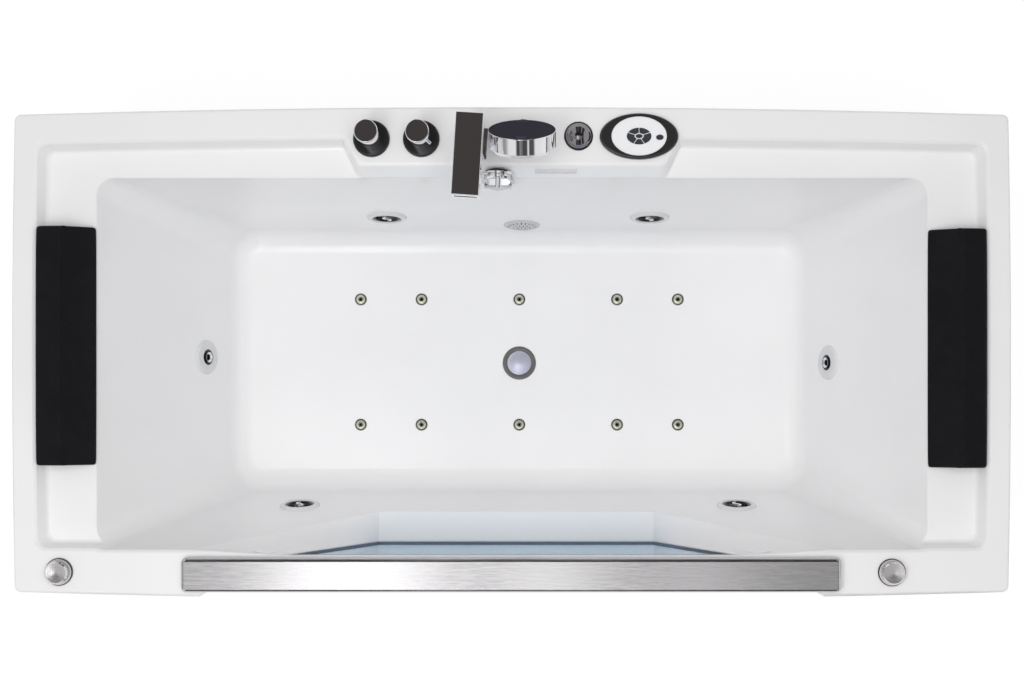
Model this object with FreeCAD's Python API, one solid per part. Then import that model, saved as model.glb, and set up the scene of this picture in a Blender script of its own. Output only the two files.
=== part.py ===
import FreeCAD, Part
import math
import os

os.makedirs("parts", exist_ok=True)

# Jetted bathtub with a front window. Millimetres, +Z up, +Y to the wall behind the tub.
# The origin is on the floor, under the middle of the whole object's plan.

# ---------------------------------------------------------------- driving sizes
# Rim outline. Its sides bow gently outwards, and the front steps in under the handrail.
rim_height = 620.0
rim_corner_half_x = 898.0
rim_half_depth = 442.5
rim_end_bow = 5.0
rim_long_bow = 14.0
rim_corner_radius = 12.0
rim_skirt_height = 40.0
front_step_depth = 8.5
front_step_half_x = 550.0
front_step_run = 15.0

# Moulded wall of the tub, and how its edges are eased.
wall = 8.0
edge_chamfer = 4.0
rim_edge_radius = 5.0

# Recessed ledge round the left, back and right sides.
ledge_depth = 30.0
ledge_half_x = 858.0
ledge_front_y = -355.0
ledge_back_y = 375.0
ledge_end_bow = 4.0
ledge_back_bow = 11.0
ledge_front_bow = 1.0
ledge_corner_radius = 18.0
ledge_slope_run = 12.0
ledge_front_run_share = 0.7
ledge_back_run_share = 0.75
ledge_floor_fillet = 8.0

# Raised deck for the taps, in the middle of the back ledge.
deck_half_x_back = 313.5
deck_half_x_front = 277.0
deck_front_y = 337.0
deck_back_y = 402.0
deck_front_run = 21.0
deck_side_run = 6.0
deck_corner_radius = 18.0
deck_edge_fillet = 9.0

# Basin: the floor, and how far each wall leans out per millimetre of height.
basin_depth = 450.0
floor_half_x = 589.0
floor_front_y = -270.0
floor_back_y = 263.0
end_lean = 169.0 / 420.0
back_lean = 55.0 / 420.0
front_lean = 88.0 / 450.0
floor_corner_radius = 62.0
basin_top_corner_radius = 30.0
floor_fillet = 46.0

# Window embrasure in the front wall.
window_plane_y = -367.0
window_sill_drop = 254.0
sill_inner_drop = 261.0
sill_half_x = 272.0
window_top_half_x = 404.0
embrasure_top_half_x = 587.0
window_frame_margin = 34.0
window_rebate_margin = 20.0
window_frame_depth = 18.0
window_frame_front = 10.0
embrasure_overrun = 1.12

# Through holes have this much room round what passes.
hole_clearance = 0.5
moving_clearance = 0.4
running_clearance = 0.05

# Window glass and its seal, from the moulded frame outwards.
seal_thickness = 3.0
seal_lip = 3.0
glass_thickness = 10.0
glass_margin = 18.0
glass_top_gap = 2.0

# Handrail: a stainless cap over the front rim.
rail_half_x = 592.0
rail_inner_y = -370.0
rail_outer_y = -432.0
rail_height = 24.0
rail_wall = 2.5
rail_corner_radius = 9.0
rail_edge_radius = 7.0
rail_block_shares = (-0.85, -0.3, 0.3, 0.85)
rail_block_half_x = 20.0
rail_block_half_y = 16.0

# Supporting frame of square tube.
tube = 30.0
tube_wall = 3.0
board_thickness = 18.0
board_half_x = 530.0
board_front_y = -208.0
board_back_y = 203.0
frame_half_x = 865.0
frame_half_y = 415.0
long_tube_y = 190.0
cross_tube_xs = (110.0, 560.0)
back_rail_z = 430.0
tray_thickness = 4.0
tray_hole_margin = 8.0
foot_mid_x = 280.0
foot_corner_y = 370.0
foot_pad_radius = 25.0
foot_pad_edge = 3.0
foot_pad_height = 9.0
foot_stud_radius = 6.0
foot_stud_grip = 12.0
foot_nut_half_flats = 9.5
foot_nut_height = 10.0

# Skirting panels.
apron_thickness = 6.0
apron_floor_gap = 12.0
apron_top_gap = 6.0
reveal_wall = 5.0
reveal_top_z = 590.0
screw_head_radius = 6.0
screw_head_height = 2.5
screw_radius = 2.4
screw_length = 16.0
screw_slot_half_length = 4.0
screw_slot_half_width = 0.6
screw_side_rise = 14.0
post_screw_heights = (160.0, 560.0)

# Nuts that clamp the deck fittings from below.
nut_height = 8.0
nut_width = 6.0

# Taps: a hot and a cold quarter-turn valve with plain round handles.
tap_xs = (-252.5, -162.6)
tap_y = 384.0
tap_flange_radius = 33.0
tap_flange_height = 7.0
tap_handle_radius = 21.0
tap_top = 83.0
tap_spindle_radius = 8.0
tap_body_radius = 14.0
tap_body_length = 58.0
tap_tail_radius = 10.45
tap_tail_length = 14.0
tap_top_thickness = 12.0
tap_tail_wall = 3.0
tap_pin_radius = 2.5
tap_pin_reach = 9.0
tap_pin_root = 6.0
tap_pin_drop = 14.0
tap_pin_turn = -41.3

# Waterfall spout, turned a little on the deck.
spout_x = -70.0
spout_y = 333.0
spout_turn = -3.5
spout_width = 47.5
spout_length = 142.0
spout_top = 150.0
spout_head_height = 30.0
spout_edge_radius = 1.2
spout_column_width = 40.0
spout_column_length = 52.0
spout_column_inset = 2.0
spout_foot_height = 5.0
spout_shank_radius = 12.0
spout_shank_length = 46.0
spout_riser_radius = 8.0
spout_side_wall = 4.0
spout_floor_wall = 5.0
spout_roof_wall = 14.0
spout_back_wall = 8.0

# Hand shower standing in its deck socket.
handset_x = 22.0
handset_face_y = 382.5
handset_face_rise = 105.0
handset_radius = 59.0
handset_thickness = 29.0
handset_tilt = 27.0
handset_rim_step = 7.0
handset_boss_radius = 12.0
handset_boss_reach = 44.0
handset_stem_radius = 11.0
handset_stem_bore = 7.0
handset_stem_y = 396.0
handset_stem_into_head = 22.0
handset_stem_tip_gap = 10.0
handset_collar_height = 12.0
socket_radius = 17.0
socket_tube_radius = 14.0
socket_flange_width = 6.0
socket_height = 14.0
socket_depth = 46.0

# Domed air switch for the blower.
dome_x = 121.0
dome_y = 389.0
dome_bezel_radius = 26.0
dome_bezel_height = 4.0
dome_radius = 23.0
dome_height = 14.0
dome_travel = 3.0
dome_shank_radius = 15.0
dome_shank_length = 30.0
dome_base_thickness = 0.8
dome_stem_radius = 4.0
dome_stem_length = 20.0

# Control panel: a black oval bezel round a white oval face with seven keys.
panel_x = 230.0
panel_y = 388.0
panel_half_x = 71.0
panel_half_y = 41.5
panel_face_half_x = 49.8
panel_face_half_y = 35.2
panel_height = 9.0
panel_face_drop = 1.5
panel_face_thickness = 4.0
panel_edge_radius = 4.0
panel_housing_margin = 9.0
panel_housing_depth = 34.0
panel_housing_wall = 3.0
panel_face_seat = 4.0
ring_key_count = 5
key_ring_half_x = 22.0
key_ring_half_y = 14.8
key_hub_half_x = 8.5
key_hub_half_y = 5.6
key_gap = 1.6
key_rise = 1.4
key_depth = 5.0
key_travel = 1.0
centre_key_half_x = 6.2
centre_key_half_y = 3.4
round_key_offset = (37.3, -2.2)
round_key_half_x = 6.6
round_key_half_y = 4.7
slit_offset_y = -22.0
slit_length = 39.0
slit_width = 2.0
slit_depth = 1.2

# Air control knobs on the two front corners.
air_knob_spots = {"left": (-816.0, -397.0), "right": (686.0, -398.0)}
air_base_radius = 25.0
air_base_height = 6.0
air_cap_radius = 21.0
air_cap_top = 22.0
air_cap_flutes = 24
air_flute_radius = 1.5
air_cap_thickness = 6.0
air_cap_bevel = 3.0
air_spindle_radius = 5.0
air_body_radius = 13.0
air_nut_width = 3.0
air_body_length = 44.0

# Swirl jets: (wall, place along it, height).
swirl_jets = {
    "back_left": ("back", -262.0, 310.0),
    "back_right": ("back", 267.0, 310.0),
    "front_left": ("front", -436.0, 320.0),
    "front_right": ("front", 441.0, 320.0),
}
end_jets = {"left": ("left", 0.0, 280.0), "right": ("right", -11.0, 278.0)}
jet_flange_radius = 40.0
jet_flange_height = 5.0
jet_sleeve_radius = 31.5
jet_sleeve_wall = 3.0
jet_sleeve_length = 22.0
jet_cup_radius = 38.0
jet_cup_depth = 58.0
jet_cup_wall = 3.0
jet_nut_radius = 43.0
jet_nut_height = 8.0
jet_pin_radius = 4.0
jet_hub_radius = 8.0
jet_hub_height = 22.0
swirl_nozzle_radius = 4.0
swirl_nozzle_offset = 15.0
swirl_nozzle_lean = 0.35
swirl_scoop_radius = 7.2
swirl_eye_thickness = 12.0
swirl_bridge_radius = 6.6
swirl_bridge_width = 4.0
swirl_bridge_top = 4.6
end_flange_radius = 35.0
end_sleeve_radius = 24.0
nozzle_ball_radius = 19.0
nozzle_ball_drop = 6.0
nozzle_ball_low_cut = 13.0
nozzle_tip_radius = 12.0
nozzle_tip_rise = 8.0
nozzle_bore_radius = 6.0

# Floor fittings: drain in the middle, ten bubble jets round it.
drain_y = -9.0
drain_flange_radius = 35.0
drain_hole_radius = 26.0
drain_body_radius = 24.0
plug_radius = 25.0
plug_gap = 2.4
plug_edge = 1.2
plug_dome = 3.8
plug_stem_radius = 3.0
plug_stem_low = -38.0
drain_neck_wall = 3.0
drain_bar_half_width = 4.0
drain_guide_radius = 6.0
drain_guide_length = 12.0
drain_guide_low = -24.0
bubble_jet_xs = (-334.0, -206.0, 0.0, 206.0, 334.0)
bubble_row_offset = 132.0
bubble_row_middle_y = -7.0
bubble_flange_radius = 12.5
bubble_flange_height = 3.0
bubble_stem_radius = 8.5
bubble_nut_radius = 14.0
bubble_nut_height = 6.0
bubble_stem_end = 10.0
bubble_socket_half_flats = 4.5
bubble_socket_low = 0.6
bubble_bore_radius = 2.5

# Suction strainer low on the back wall.
suction_x = 7.5
suction_z = 247.0
suction_radius = 37.0
suction_hole_radius = 24.0
suction_neck_length = 32.0
suction_neck_wall = 3.0
suction_nut_width = 9.0
suction_nut_height = 7.0
suction_dome = 7.5
suction_edge = 1.5
suction_dish_radius = 31.5
suction_dish_height = 2.0
suction_slot_rings = ((9.0, 8), (18.0, 14), (27.5, 20))
suction_slot_half_length = 2.6
suction_slot_half_width = 1.1

# Overflow with the rotary knob that lifts the plug.
overflow_x = -25.0
overflow_y = 314.0
overflow_z = 595.0
overflow_tilt = 25.0
overflow_radius = 32.0
overflow_bezel = 5.0
overflow_knob_radius = 26.0
overflow_knob_thickness = 8.0
overflow_bar_half_width = 5.0
overflow_bar_top = 17.0
overflow_notch_radius = 11.0
overflow_notch_offset = 6.0
overflow_post_radius = 7.0
overflow_post_top = 19.5
overflow_shaft_radius = 5.0
overflow_shaft_length = 54.0
overflow_collar_width = 8.0
overflow_collar_range = (-9.5, -4.0)
overflow_shank_radius = 14.0
overflow_shank_length = 58.0

# Low-water probe bar beside it.
probe_x_range = (42.0, 117.0)
probe_y = 328.5
probe_z = 608.0
probe_radius = 4.5
probe_cap_length = 3.0
probe_cap_step = 1.0

# Pillows on the end ledges.
pillow_half_length = 216.0
pillow_middle_y = 10.0
pillow_outer_x = 859.0
pillow_inner_x = 757.0
pillow_ridge_x = 812.0
pillow_ridge_height = 42.0
pillow_peg_radius = 4.0
pillow_peg_length = 14.0
pillow_peg_y = 130.0
pillow_peg_x = 800.0
pillow_seat_gap = 0.3

# Pipework.
water_pipe_radius = 14.0
water_pipe_bore = 11.5
water_bend_radius = 34.0
air_pipe_radius = 10.0
air_pipe_bore = 8.0
air_bend_radius = 24.0
thin_pipe_radius = 6.0
thin_pipe_bore = 4.0
thin_bend_radius = 18.0
waste_pipe_radius = 20.0
waste_pipe_bore = 18.0
thin_waste_radius = 12.0
thin_waste_wall = 2.0
jet_tee_depth = 40.0
ring_corner_overrun = 3.0
suction_neck_reach = 40.0
air_control_turn_z = 430.0
air_loop_z = 500.0
riser_wall = 2.5
riser_bore_wall = 2.0
drain_neck_z = 108.0
trap_radius = 40.0
trap_wall = 3.0
trap_low_z = 28.0
trap_collar_width = 4.0
trap_collar_height = 24.0
trap_inlet_x = -50.0
waste_out_z = 60.0
waste_out_y = 330.0
waste_spigot_length = 60.0
waste_shoulder = 2.0
overflow_elbow_reach = 24.0
overflow_turn_z = 490.0
overflow_drop_z = 410.0
overflow_drop_y = 362.0
overflow_run_z = 64.0
overflow_run_x = -80.0
manifold_z = 98.0
manifold_end_x = -430.0

# Water pump under the right end, blower under the left end.
pump_x = 790.0
pump_axis_z = 205.0
motor_radius = 65.0
motor_length = 180.0
motor_end_y = 30.0
volute_radius = 70.0
volute_length = 62.0
casing_wall = 5.0
shaft_radius = 7.0
shaft_overrun = 20.0
impeller_radius = 52.0
impeller_thickness = 16.0
impeller_plate = 4.0
impeller_vanes = 6
pump_neck_reach = 28.0
pump_neck_wall = 5.0
discharge_wall = 3.0
discharge_drop = 18.0
discharge_reach = 78.0
motor_foot_half_x = 44.0
motor_foot_margin = 30.0
motor_seat_share = 0.8
terminal_half_x = 26.0
terminal_y_range = (50.0, 115.0)
terminal_rise = 22.0
blower_x = -748.0
blower_y = -95.0
blower_radius = 74.0
blower_height = 110.0
blower_fan_radius = 58.0
blower_fan_height = 40.0
blower_outlet_offset = 42.0
blower_wall = 4.0
blower_shoulder = 8.0
blower_shaft_radius = 5.0
blower_bearing_radius = 24.0
blower_bearing_top = 36.0
blower_vents = 16
blower_vent_radius = 4.0
blower_vent_z = 70.0
blower_fan_low = 42.0
blower_hub_radius = 14.0
blower_shaft_low = 12.0
blower_blades = 8
control_box_x_range = (480.0, 660.0)
control_box_depth = 50.0
control_box_z_range = (395.0, 520.0)
control_box_wall = 3.0
control_box_edge_radius = 5.0
gland_radius = 9.0
gland_bore_radius = 4.0
gland_length = 18.0
gland_set_back = 12.0

# ---------------------------------------------------------------- shape helpers
UP = FreeCAD.Vector(0, 0, 1)
BACKWARD = FreeCAD.Vector(0, 1, 0)


def vec(x, y, z):
    return FreeCAD.Vector(x, y, z)


def block(x_range, y_range, z_range):
    corner = vec(x_range[0], y_range[0], z_range[0])
    sizes = [high - low for low, high in (x_range, y_range, z_range)]
    return Part.makeBox(sizes[0], sizes[1], sizes[2], corner)


def rod(radius, length, base, axis=UP):
    return Part.makeCylinder(radius, length, base, axis)


def ring(outer_radius, inner_radius, length, base, axis=UP):
    return rod(outer_radius, length, base, axis).cut(rod(inner_radius, length, base, axis))


def placed(shape, base, axis=UP, turn=0.0):
    """A shape drawn along +Z, turned about +Z, then laid along axis at base."""
    moved = shape.copy()
    spin = FreeCAD.Rotation(UP, turn)
    tilt = FreeCAD.Rotation(UP, axis)
    moved.Placement = FreeCAD.Placement(base, tilt.multiply(spin))
    return moved


def fused(*shapes):
    whole = shapes[0]
    for shape in shapes[1:]:
        whole = whole.fuse(shape)
    return whole.removeSplitter()


def carved(shape, *tools):
    for tool in tools:
        shape = shape.cut(tool)
    return shape


def mirrored(shape):
    """The same shape on the other side of the middle, left for right."""
    return shape.mirror(vec(0, 0, 0), vec(1, 0, 0))


def turned(start, *steps):
    """Revolve a closed (radius, height) outline about +Z. A step is the next point,
    or a pair: a point on an arc and the arc's end."""
    here = vec(start[0], 0, start[1])
    first = here
    edges = []
    for step in steps:
        if isinstance(step[0], tuple):
            middle = vec(step[0][0], 0, step[0][1])
            end = vec(step[1][0], 0, step[1][1])
            edges.append(Part.Arc(here, middle, end).toShape())
        else:
            end = vec(step[0], 0, step[1])
            edges.append(Part.makeLine(here, end))
        here = end
    edges.append(Part.makeLine(here, first))
    return Part.Face(Part.Wire(edges)).revolve(vec(0, 0, 0), UP, 360)


def dome(radius, low, height):
    """Arc of a ball cap, from its rim at (radius, low) to its top on the axis."""
    ball_radius = (radius ** 2 + height ** 2) / (2 * height)
    centre = low + height - ball_radius
    half_angle = math.asin(radius / ball_radius) / 2
    return ((ball_radius * math.sin(half_angle), centre + ball_radius * math.cos(half_angle)),
            (0, low + height))


def prism(points, z_low, z_high):
    """A straight prism over a flat polygon of (x, y) points."""
    corners = [vec(x, y, z_low) for x, y in points]
    outline = Part.makePolygon(corners + corners[:1])
    return Part.Face(outline).extrude(vec(0, 0, z_high - z_low))


def hexagon_bar(half_flats, low, height):
    """Hexagonal bar standing on the height low."""
    radius = half_flats / math.cos(math.pi / 6)
    corners = [(radius * math.cos(k * math.pi / 3), radius * math.sin(k * math.pi / 3)) for k in range(6)]
    return prism(corners, low, low + height)


def deck_nut(thread_radius, flat_width):
    """Nut that clamps a fitting from below the deck, drawn with the deck's top at zero."""
    return hexagon_bar(thread_radius + flat_width, -wall - nut_height, nut_height)


def edges_at_height(shape, height, tolerance=0.05):
    return [edge for edge in shape.Edges
            if all(abs(vertex.Z - height) < tolerance for vertex in edge.Vertexes)
            and abs(edge.CenterOfMass.z - height) < tolerance]


def save(node, shape):
    """Write one node. Its solids are kept as they are."""
    shape.exportStep("parts/" + node + ".step")
    print(node, "solids", len(shape.Solids), "volume", round(shape.Volume), "valid", shape.isValid())


# ---------------------------------------------------------------- outlines
def side_circle(half_chord, bow, chord_place):
    """Radius of a bowed side, and where its centre lies along its own normal."""
    radius = (half_chord ** 2 + bow ** 2) / (2 * bow)
    return radius, chord_place + bow - radius


def corner_centre(first, second, sign_x, sign_y):
    """Where two circles, given as (x, y, radius), cross in the asked quadrant."""
    ax, ay, ra = first
    bx, by, rb = second
    gap = math.hypot(bx - ax, by - ay)
    along = (ra ** 2 - rb ** 2 + gap ** 2) / (2 * gap)
    across = math.sqrt(ra ** 2 - along ** 2)
    ux = (bx - ax) / gap
    uy = (by - ay) / gap
    options = [(ax + along * ux - side * across * uy, ay + along * uy + side * across * ux)
               for side in (1, -1)]
    return max(options, key=lambda spot: sign_x * spot[0] + sign_y * spot[1])


def bowed_outline(half_x, front_y, back_y, corner_radius, end_bow, front_bow, back_bow, z):
    """Rounded rectangle whose four sides bow outwards. half_x, front_y and back_y are its
    sharp corners, before the corners are rounded."""
    half_y = (back_y - front_y) / 2
    middle_y = (back_y + front_y) / 2
    end_radius, end_centre = side_circle(half_y, end_bow, half_x)
    back_radius, back_centre = side_circle(half_x, back_bow, back_y)
    front_radius, front_centre = side_circle(half_x, front_bow, -front_y)
    sides = {
        "right": (end_centre, middle_y, end_radius),
        "back": (0.0, back_centre, back_radius),
        "left": (-end_centre, middle_y, end_radius),
        "front": (0.0, -front_centre, front_radius),
    }
    order = ["right", "back", "left", "front"]
    signs = [(1, 1), (-1, 1), (-1, -1), (1, -1)]
    corners = []
    for index, (sign_x, sign_y) in enumerate(signs):
        first = sides[order[index]]
        second = sides[order[(index + 1) % 4]]
        centre = corner_centre((first[0], first[1], first[2] - corner_radius),
                               (second[0], second[1], second[2] - corner_radius), sign_x, sign_y)
        touches = []
        for side in (first, second):
            reach = side[2] / (side[2] - corner_radius)
            touches.append((side[0] + (centre[0] - side[0]) * reach,
                            side[1] + (centre[1] - side[1]) * reach))
        corners.append((centre, touches))
    edges = []
    for index, (centre, touches) in enumerate(corners):
        start, end = touches
        middle = ((start[0] + end[0]) / 2 - centre[0], (start[1] + end[1]) / 2 - centre[1])
        stretch = corner_radius / math.hypot(middle[0], middle[1])
        bulge = (centre[0] + middle[0] * stretch, centre[1] + middle[1] * stretch)
        edges.append(Part.Arc(vec(start[0], start[1], z), vec(bulge[0], bulge[1], z),
                              vec(end[0], end[1], z)).toShape())
        following = corners[(index + 1) % 4][1][0]
        side = sides[order[(index + 1) % 4]]
        middle = ((end[0] + following[0]) / 2 - side[0], (end[1] + following[1]) / 2 - side[1])
        stretch = side[2] / math.hypot(middle[0], middle[1])
        bulge = (side[0] + middle[0] * stretch, side[1] + middle[1] * stretch)
        edges.append(Part.Arc(vec(end[0], end[1], z), vec(bulge[0], bulge[1], z),
                              vec(following[0], following[1], z)).toShape())
    return Part.Wire(edges)


def rounded_outline(half_x, front_y, back_y, corner_radius, z):
    """Plain rounded rectangle."""
    edges = []
    corners = [(half_x, back_y, 0), (-half_x, back_y, 90), (-half_x, front_y, 180), (half_x, front_y, 270)]
    spots = []
    for x, y, start_angle in corners:
        centre_x = x - math.copysign(corner_radius, x)
        centre_y = y - corner_radius if y == back_y else y + corner_radius
        points = []
        for angle in (start_angle, start_angle + 45, start_angle + 90):
            turn = math.radians(angle)
            points.append(vec(centre_x + corner_radius * math.cos(turn),
                              centre_y + corner_radius * math.sin(turn), z))
        spots.append(points)
    for index, points in enumerate(spots):
        edges.append(Part.Arc(points[0], points[1], points[2]).toShape())
        edges.append(Part.makeLine(points[2], spots[(index + 1) % 4][0]))
    return Part.Wire(edges)


def lofted(wires):
    return Part.makeLoft(wires, True, True)


# ---------------------------------------------------------------- worked-out heights
rim_underside_z = rim_height - wall
skirt_bottom_z = rim_height - rim_skirt_height
ledge_z = rim_height - ledge_depth
floor_z = rim_height - basin_depth
floor_underside_z = floor_z - wall
above_rim_z = rim_height + 12.0
sill_z = rim_height - window_sill_drop
sill_inner_z = rim_height - sill_inner_drop
window_side_lean = (window_top_half_x - sill_half_x) / window_sill_drop
board_underside_z = floor_underside_z - board_thickness
frame_top_z = board_underside_z
frame_bottom_z = frame_top_z - tube
face_top_z = rim_height + panel_height - panel_face_drop
face_low_z = face_top_z - panel_face_thickness
key_low_z = face_top_z + key_rise - key_depth
blower_low_z = frame_bottom_z
blower_top_z = blower_low_z + blower_height
pillow_seat_z = ledge_z + pillow_seat_gap
volute_end_y = motor_end_y + volute_length
volute_middle_y = motor_end_y + volute_length / 2
pump_inlet_y = volute_end_y + pump_neck_reach
discharge_z = pump_axis_z + volute_radius - discharge_drop
discharge_x = pump_x - discharge_reach

# ---------------------------------------------------------------- worked-out places
spout_angle = math.radians(spout_turn)
spout_column_back = spout_length / 2 - spout_column_length / 2 - spout_column_inset
spout_base_x = spout_x - math.sin(spout_angle) * spout_column_back
spout_base_y = spout_y + math.cos(spout_angle) * spout_column_back
panel_housing_half_x = panel_half_x - panel_housing_margin
panel_housing_half_y = panel_half_y - panel_housing_margin


def bow_share(x):
    """How much of a long side's bow is left at x."""
    return 1 - (x / rim_corner_half_x) ** 2


rim_back_y = rim_half_depth - rim_long_bow
rim_front_y = -(rim_half_depth - rim_long_bow * bow_share(front_step_half_x + front_step_run))
front_step_y = -rim_half_depth + front_step_depth


# ---------------------------------------------------------------- tub shell
def rim_outline(inset, z):
    return bowed_outline(rim_corner_half_x - inset, rim_front_y + inset, rim_back_y - inset,
                         rim_corner_radius - inset / 2, rim_end_bow, rim_long_bow, rim_long_bow, z)


def front_step(inset):
    """What the front edge leaves out between the handrail's ends."""
    outer_half_x = front_step_half_x + front_step_run
    points = [(-outer_half_x - front_step_run, front_step_y - 2 * front_step_depth + inset),
              (-front_step_half_x, front_step_y + inset),
              (front_step_half_x, front_step_y + inset),
              (outer_half_x + front_step_run, front_step_y - 2 * front_step_depth + inset)]
    return prism(points, skirt_bottom_z - wall, rim_height + wall)


def rim_body():
    outside = Part.Face(rim_outline(0.0, skirt_bottom_z)).extrude(vec(0, 0, rim_skirt_height))
    inside = Part.Face(rim_outline(wall, skirt_bottom_z)).extrude(vec(0, 0, rim_skirt_height - wall))
    return outside.cut(front_step(0.0)).cut(inside.cut(front_step(wall)))


def ledge_outline(z, grow):
    rise = (z - ledge_z) / ledge_depth
    inset = ledge_slope_run * (1 - rise)
    return bowed_outline(ledge_half_x - inset + grow,
                         ledge_front_y + ledge_front_run_share * inset - grow,
                         ledge_back_y - ledge_back_run_share * inset + grow, ledge_corner_radius + grow,
                         ledge_end_bow, ledge_front_bow, ledge_back_bow, z)


def basin_outline(z, grow):
    rise = z - floor_z
    share = rise / basin_depth
    radius = floor_corner_radius + (basin_top_corner_radius - floor_corner_radius) * share
    return rounded_outline(floor_half_x + end_lean * rise + grow * math.hypot(1, end_lean),
                           floor_front_y - front_lean * rise - grow * math.hypot(1, front_lean),
                           floor_back_y + back_lean * rise + grow * math.hypot(1, back_lean),
                           radius + grow, z)


def basin_body(grow, sections):
    """A basin-shaped body. Each section is (height, extra growth at that height)."""
    bottom_z = floor_z - grow
    outlines = [basin_outline(bottom_z, grow)]
    outlines += [basin_outline(z, grow + extra) for z, extra in sections]
    body = lofted(outlines)
    return body.makeFillet(floor_fillet + grow, edges_at_height(body, bottom_z))


def basin_space():
    """The inside of the basin, bevelled where it comes through the rim."""
    return basin_body(0.0, [(rim_height - edge_chamfer, 0.0),
                            (above_rim_z, above_rim_z - rim_height + edge_chamfer)])


def deck_outline(z, shrink):
    drop = rim_height - z
    front_y = deck_front_y - deck_front_run * drop / ledge_depth + shrink
    half_front = deck_half_x_front + deck_side_run * drop / ledge_depth / 2 - shrink
    half_back = deck_half_x_back + deck_side_run * drop / ledge_depth - shrink
    corners = [vec(-half_back, deck_back_y, z), vec(-half_front, front_y, z),
               vec(half_front, front_y, z), vec(half_back, deck_back_y, z)]
    return Part.makePolygon(corners + corners[:1])


def deck_body(shrink, bottom_z, top_z):
    body = lofted([deck_outline(bottom_z, shrink), deck_outline(top_z, shrink)])
    uprights = [edge for edge in body.Edges
                if abs(edge.Vertexes[0].Z - edge.Vertexes[-1].Z) > 1
                and edge.CenterOfMass.y < deck_back_y - 5]
    return body.makeFillet(deck_corner_radius - shrink, uprights)


def ledge_space():
    """The recess that the ledge stands in, with the tap deck left standing."""
    recess = lofted([ledge_outline(ledge_z, 0.0),
                     ledge_outline(rim_height - edge_chamfer, 0.0),
                     ledge_outline(above_rim_z, above_rim_z - rim_height + edge_chamfer)])
    recess = recess.makeFillet(ledge_floor_fillet, edges_at_height(recess, ledge_z))
    deck = deck_body(0.0, ledge_z - wall, rim_height)
    rolled = [edge for edge in edges_at_height(deck, rim_height)
              if edge.CenterOfMass.y < deck_back_y - 1]
    return recess.cut(deck.makeFillet(deck_edge_fillet, rolled))


def window_outline(y, half_bottom, bottom_z, half_top, top_z):
    corners = [vec(-half_bottom, y, bottom_z), vec(half_bottom, y, bottom_z),
               vec(half_top, y, top_z), vec(-half_top, y, top_z)]
    return Part.makePolygon(corners + corners[:1])


def basin_front_y(z):
    return floor_front_y - front_lean * (z - floor_z)


def window_opening(y, margin, top_z):
    """The window's outline in its own plane, grown by a margin."""
    side = margin * math.hypot(1, window_side_lean)
    bottom_z = sill_z - margin
    half_bottom = sill_half_x + side - margin * window_side_lean
    half_top = half_bottom + window_side_lean * (top_z - bottom_z)
    return window_outline(y, half_bottom, bottom_z, half_top, top_z)


def embrasure(grow, top_z):
    """The splayed space between the glass and the basin, run on a little into the basin."""
    plane = window_opening(window_plane_y, grow, top_z)
    low_z = sill_inner_z - grow
    half_low = sill_half_x + grow
    inner_lean = (embrasure_top_half_x - sill_half_x) / (rim_height - sill_inner_z)
    half_high = half_low + inner_lean * (top_z - low_z)
    inner_corners = [vec(-half_low, basin_front_y(low_z), low_z),
                     vec(half_low, basin_front_y(low_z), low_z),
                     vec(half_high, basin_front_y(top_z), top_z),
                     vec(-half_high, basin_front_y(top_z), top_z)]
    outer_corners = [vertex.Point for vertex in plane.OrderedVertexes]
    pushed = [outer + (inner - outer) * embrasure_overrun
              for outer, inner in zip(outer_corners, inner_corners)]
    return lofted([plane, Part.makePolygon(pushed + pushed[:1])])


def window_frame():
    """Thick moulded frame round the window, with the rebate that takes seal and glass."""
    frame_front_y = window_plane_y - window_frame_front
    face = Part.Face(window_opening(frame_front_y, window_frame_margin, rim_underside_z))
    plate = face.extrude(vec(0, window_frame_depth, 0))
    rebate_face = Part.Face(window_opening(frame_front_y, window_rebate_margin, rim_underside_z))
    return plate, rebate_face.extrude(vec(0, window_frame_front, 0))


def shell_blank():
    frame_plate, rebate = window_frame()
    skin_top_z = rim_underside_z + wall / 2
    skin = fused(rim_body(),
                 lofted([ledge_outline(ledge_z - wall, wall), ledge_outline(skin_top_z, wall)]),
                 basin_body(wall, [(skin_top_z, 0.0)]),
                 embrasure(wall, skin_top_z),
                 frame_plate)
    hollow = deck_body(wall, ledge_z - 2 * wall, rim_underside_z).cut(basin_body(wall, [(rim_height, 0.0)]))
    blank = carved(skin, hollow, ledge_space(), basin_space(), embrasure(0.0, above_rim_z), rebate)
    outer_edges = [edge for edge in edges_at_height(blank, rim_height)
                   if abs(edge.CenterOfMass.x) > ledge_half_x + 20
                   or edge.CenterOfMass.y > rim_back_y
                   or edge.CenterOfMass.y < front_step_y + 1]
    return blank.Solids[0].makeFillet(rim_edge_radius, outer_edges)


# ---------------------------------------------------------------- places on the walls
def wall_place(side, along, z):
    """A point on a wall's inner face, and the direction from it square into the basin."""
    rise = z - floor_z
    places = {
        "back": (vec(along, floor_back_y + back_lean * rise, z), vec(0, -1, back_lean)),
        "front": (vec(along, floor_front_y - front_lean * rise, z), vec(0, 1, front_lean)),
        "right": (vec(floor_half_x + end_lean * rise, along, z), vec(-1, 0, end_lean)),
        "left": (vec(-floor_half_x - end_lean * rise, along, z), vec(1, 0, end_lean)),
    }
    point, inward = places[side]
    return point, inward.normalize()


jet_places = {name: wall_place(*spot) for name, spot in swirl_jets.items()}
end_jet_places = {name: wall_place(*spot) for name, spot in end_jets.items()}
all_jet_places = list(jet_places.values()) + list(end_jet_places.values())
suction_point, suction_inward = wall_place("back", suction_x, suction_z)
bubble_spots = [(x, bubble_row_middle_y + sign * bubble_row_offset)
                for sign in (1, -1) for x in bubble_jet_xs]
overflow_point = vec(overflow_x, overflow_y, overflow_z)
overflow_outward = vec(0, -math.cos(math.radians(overflow_tilt)), math.sin(math.radians(overflow_tilt)))


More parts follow.
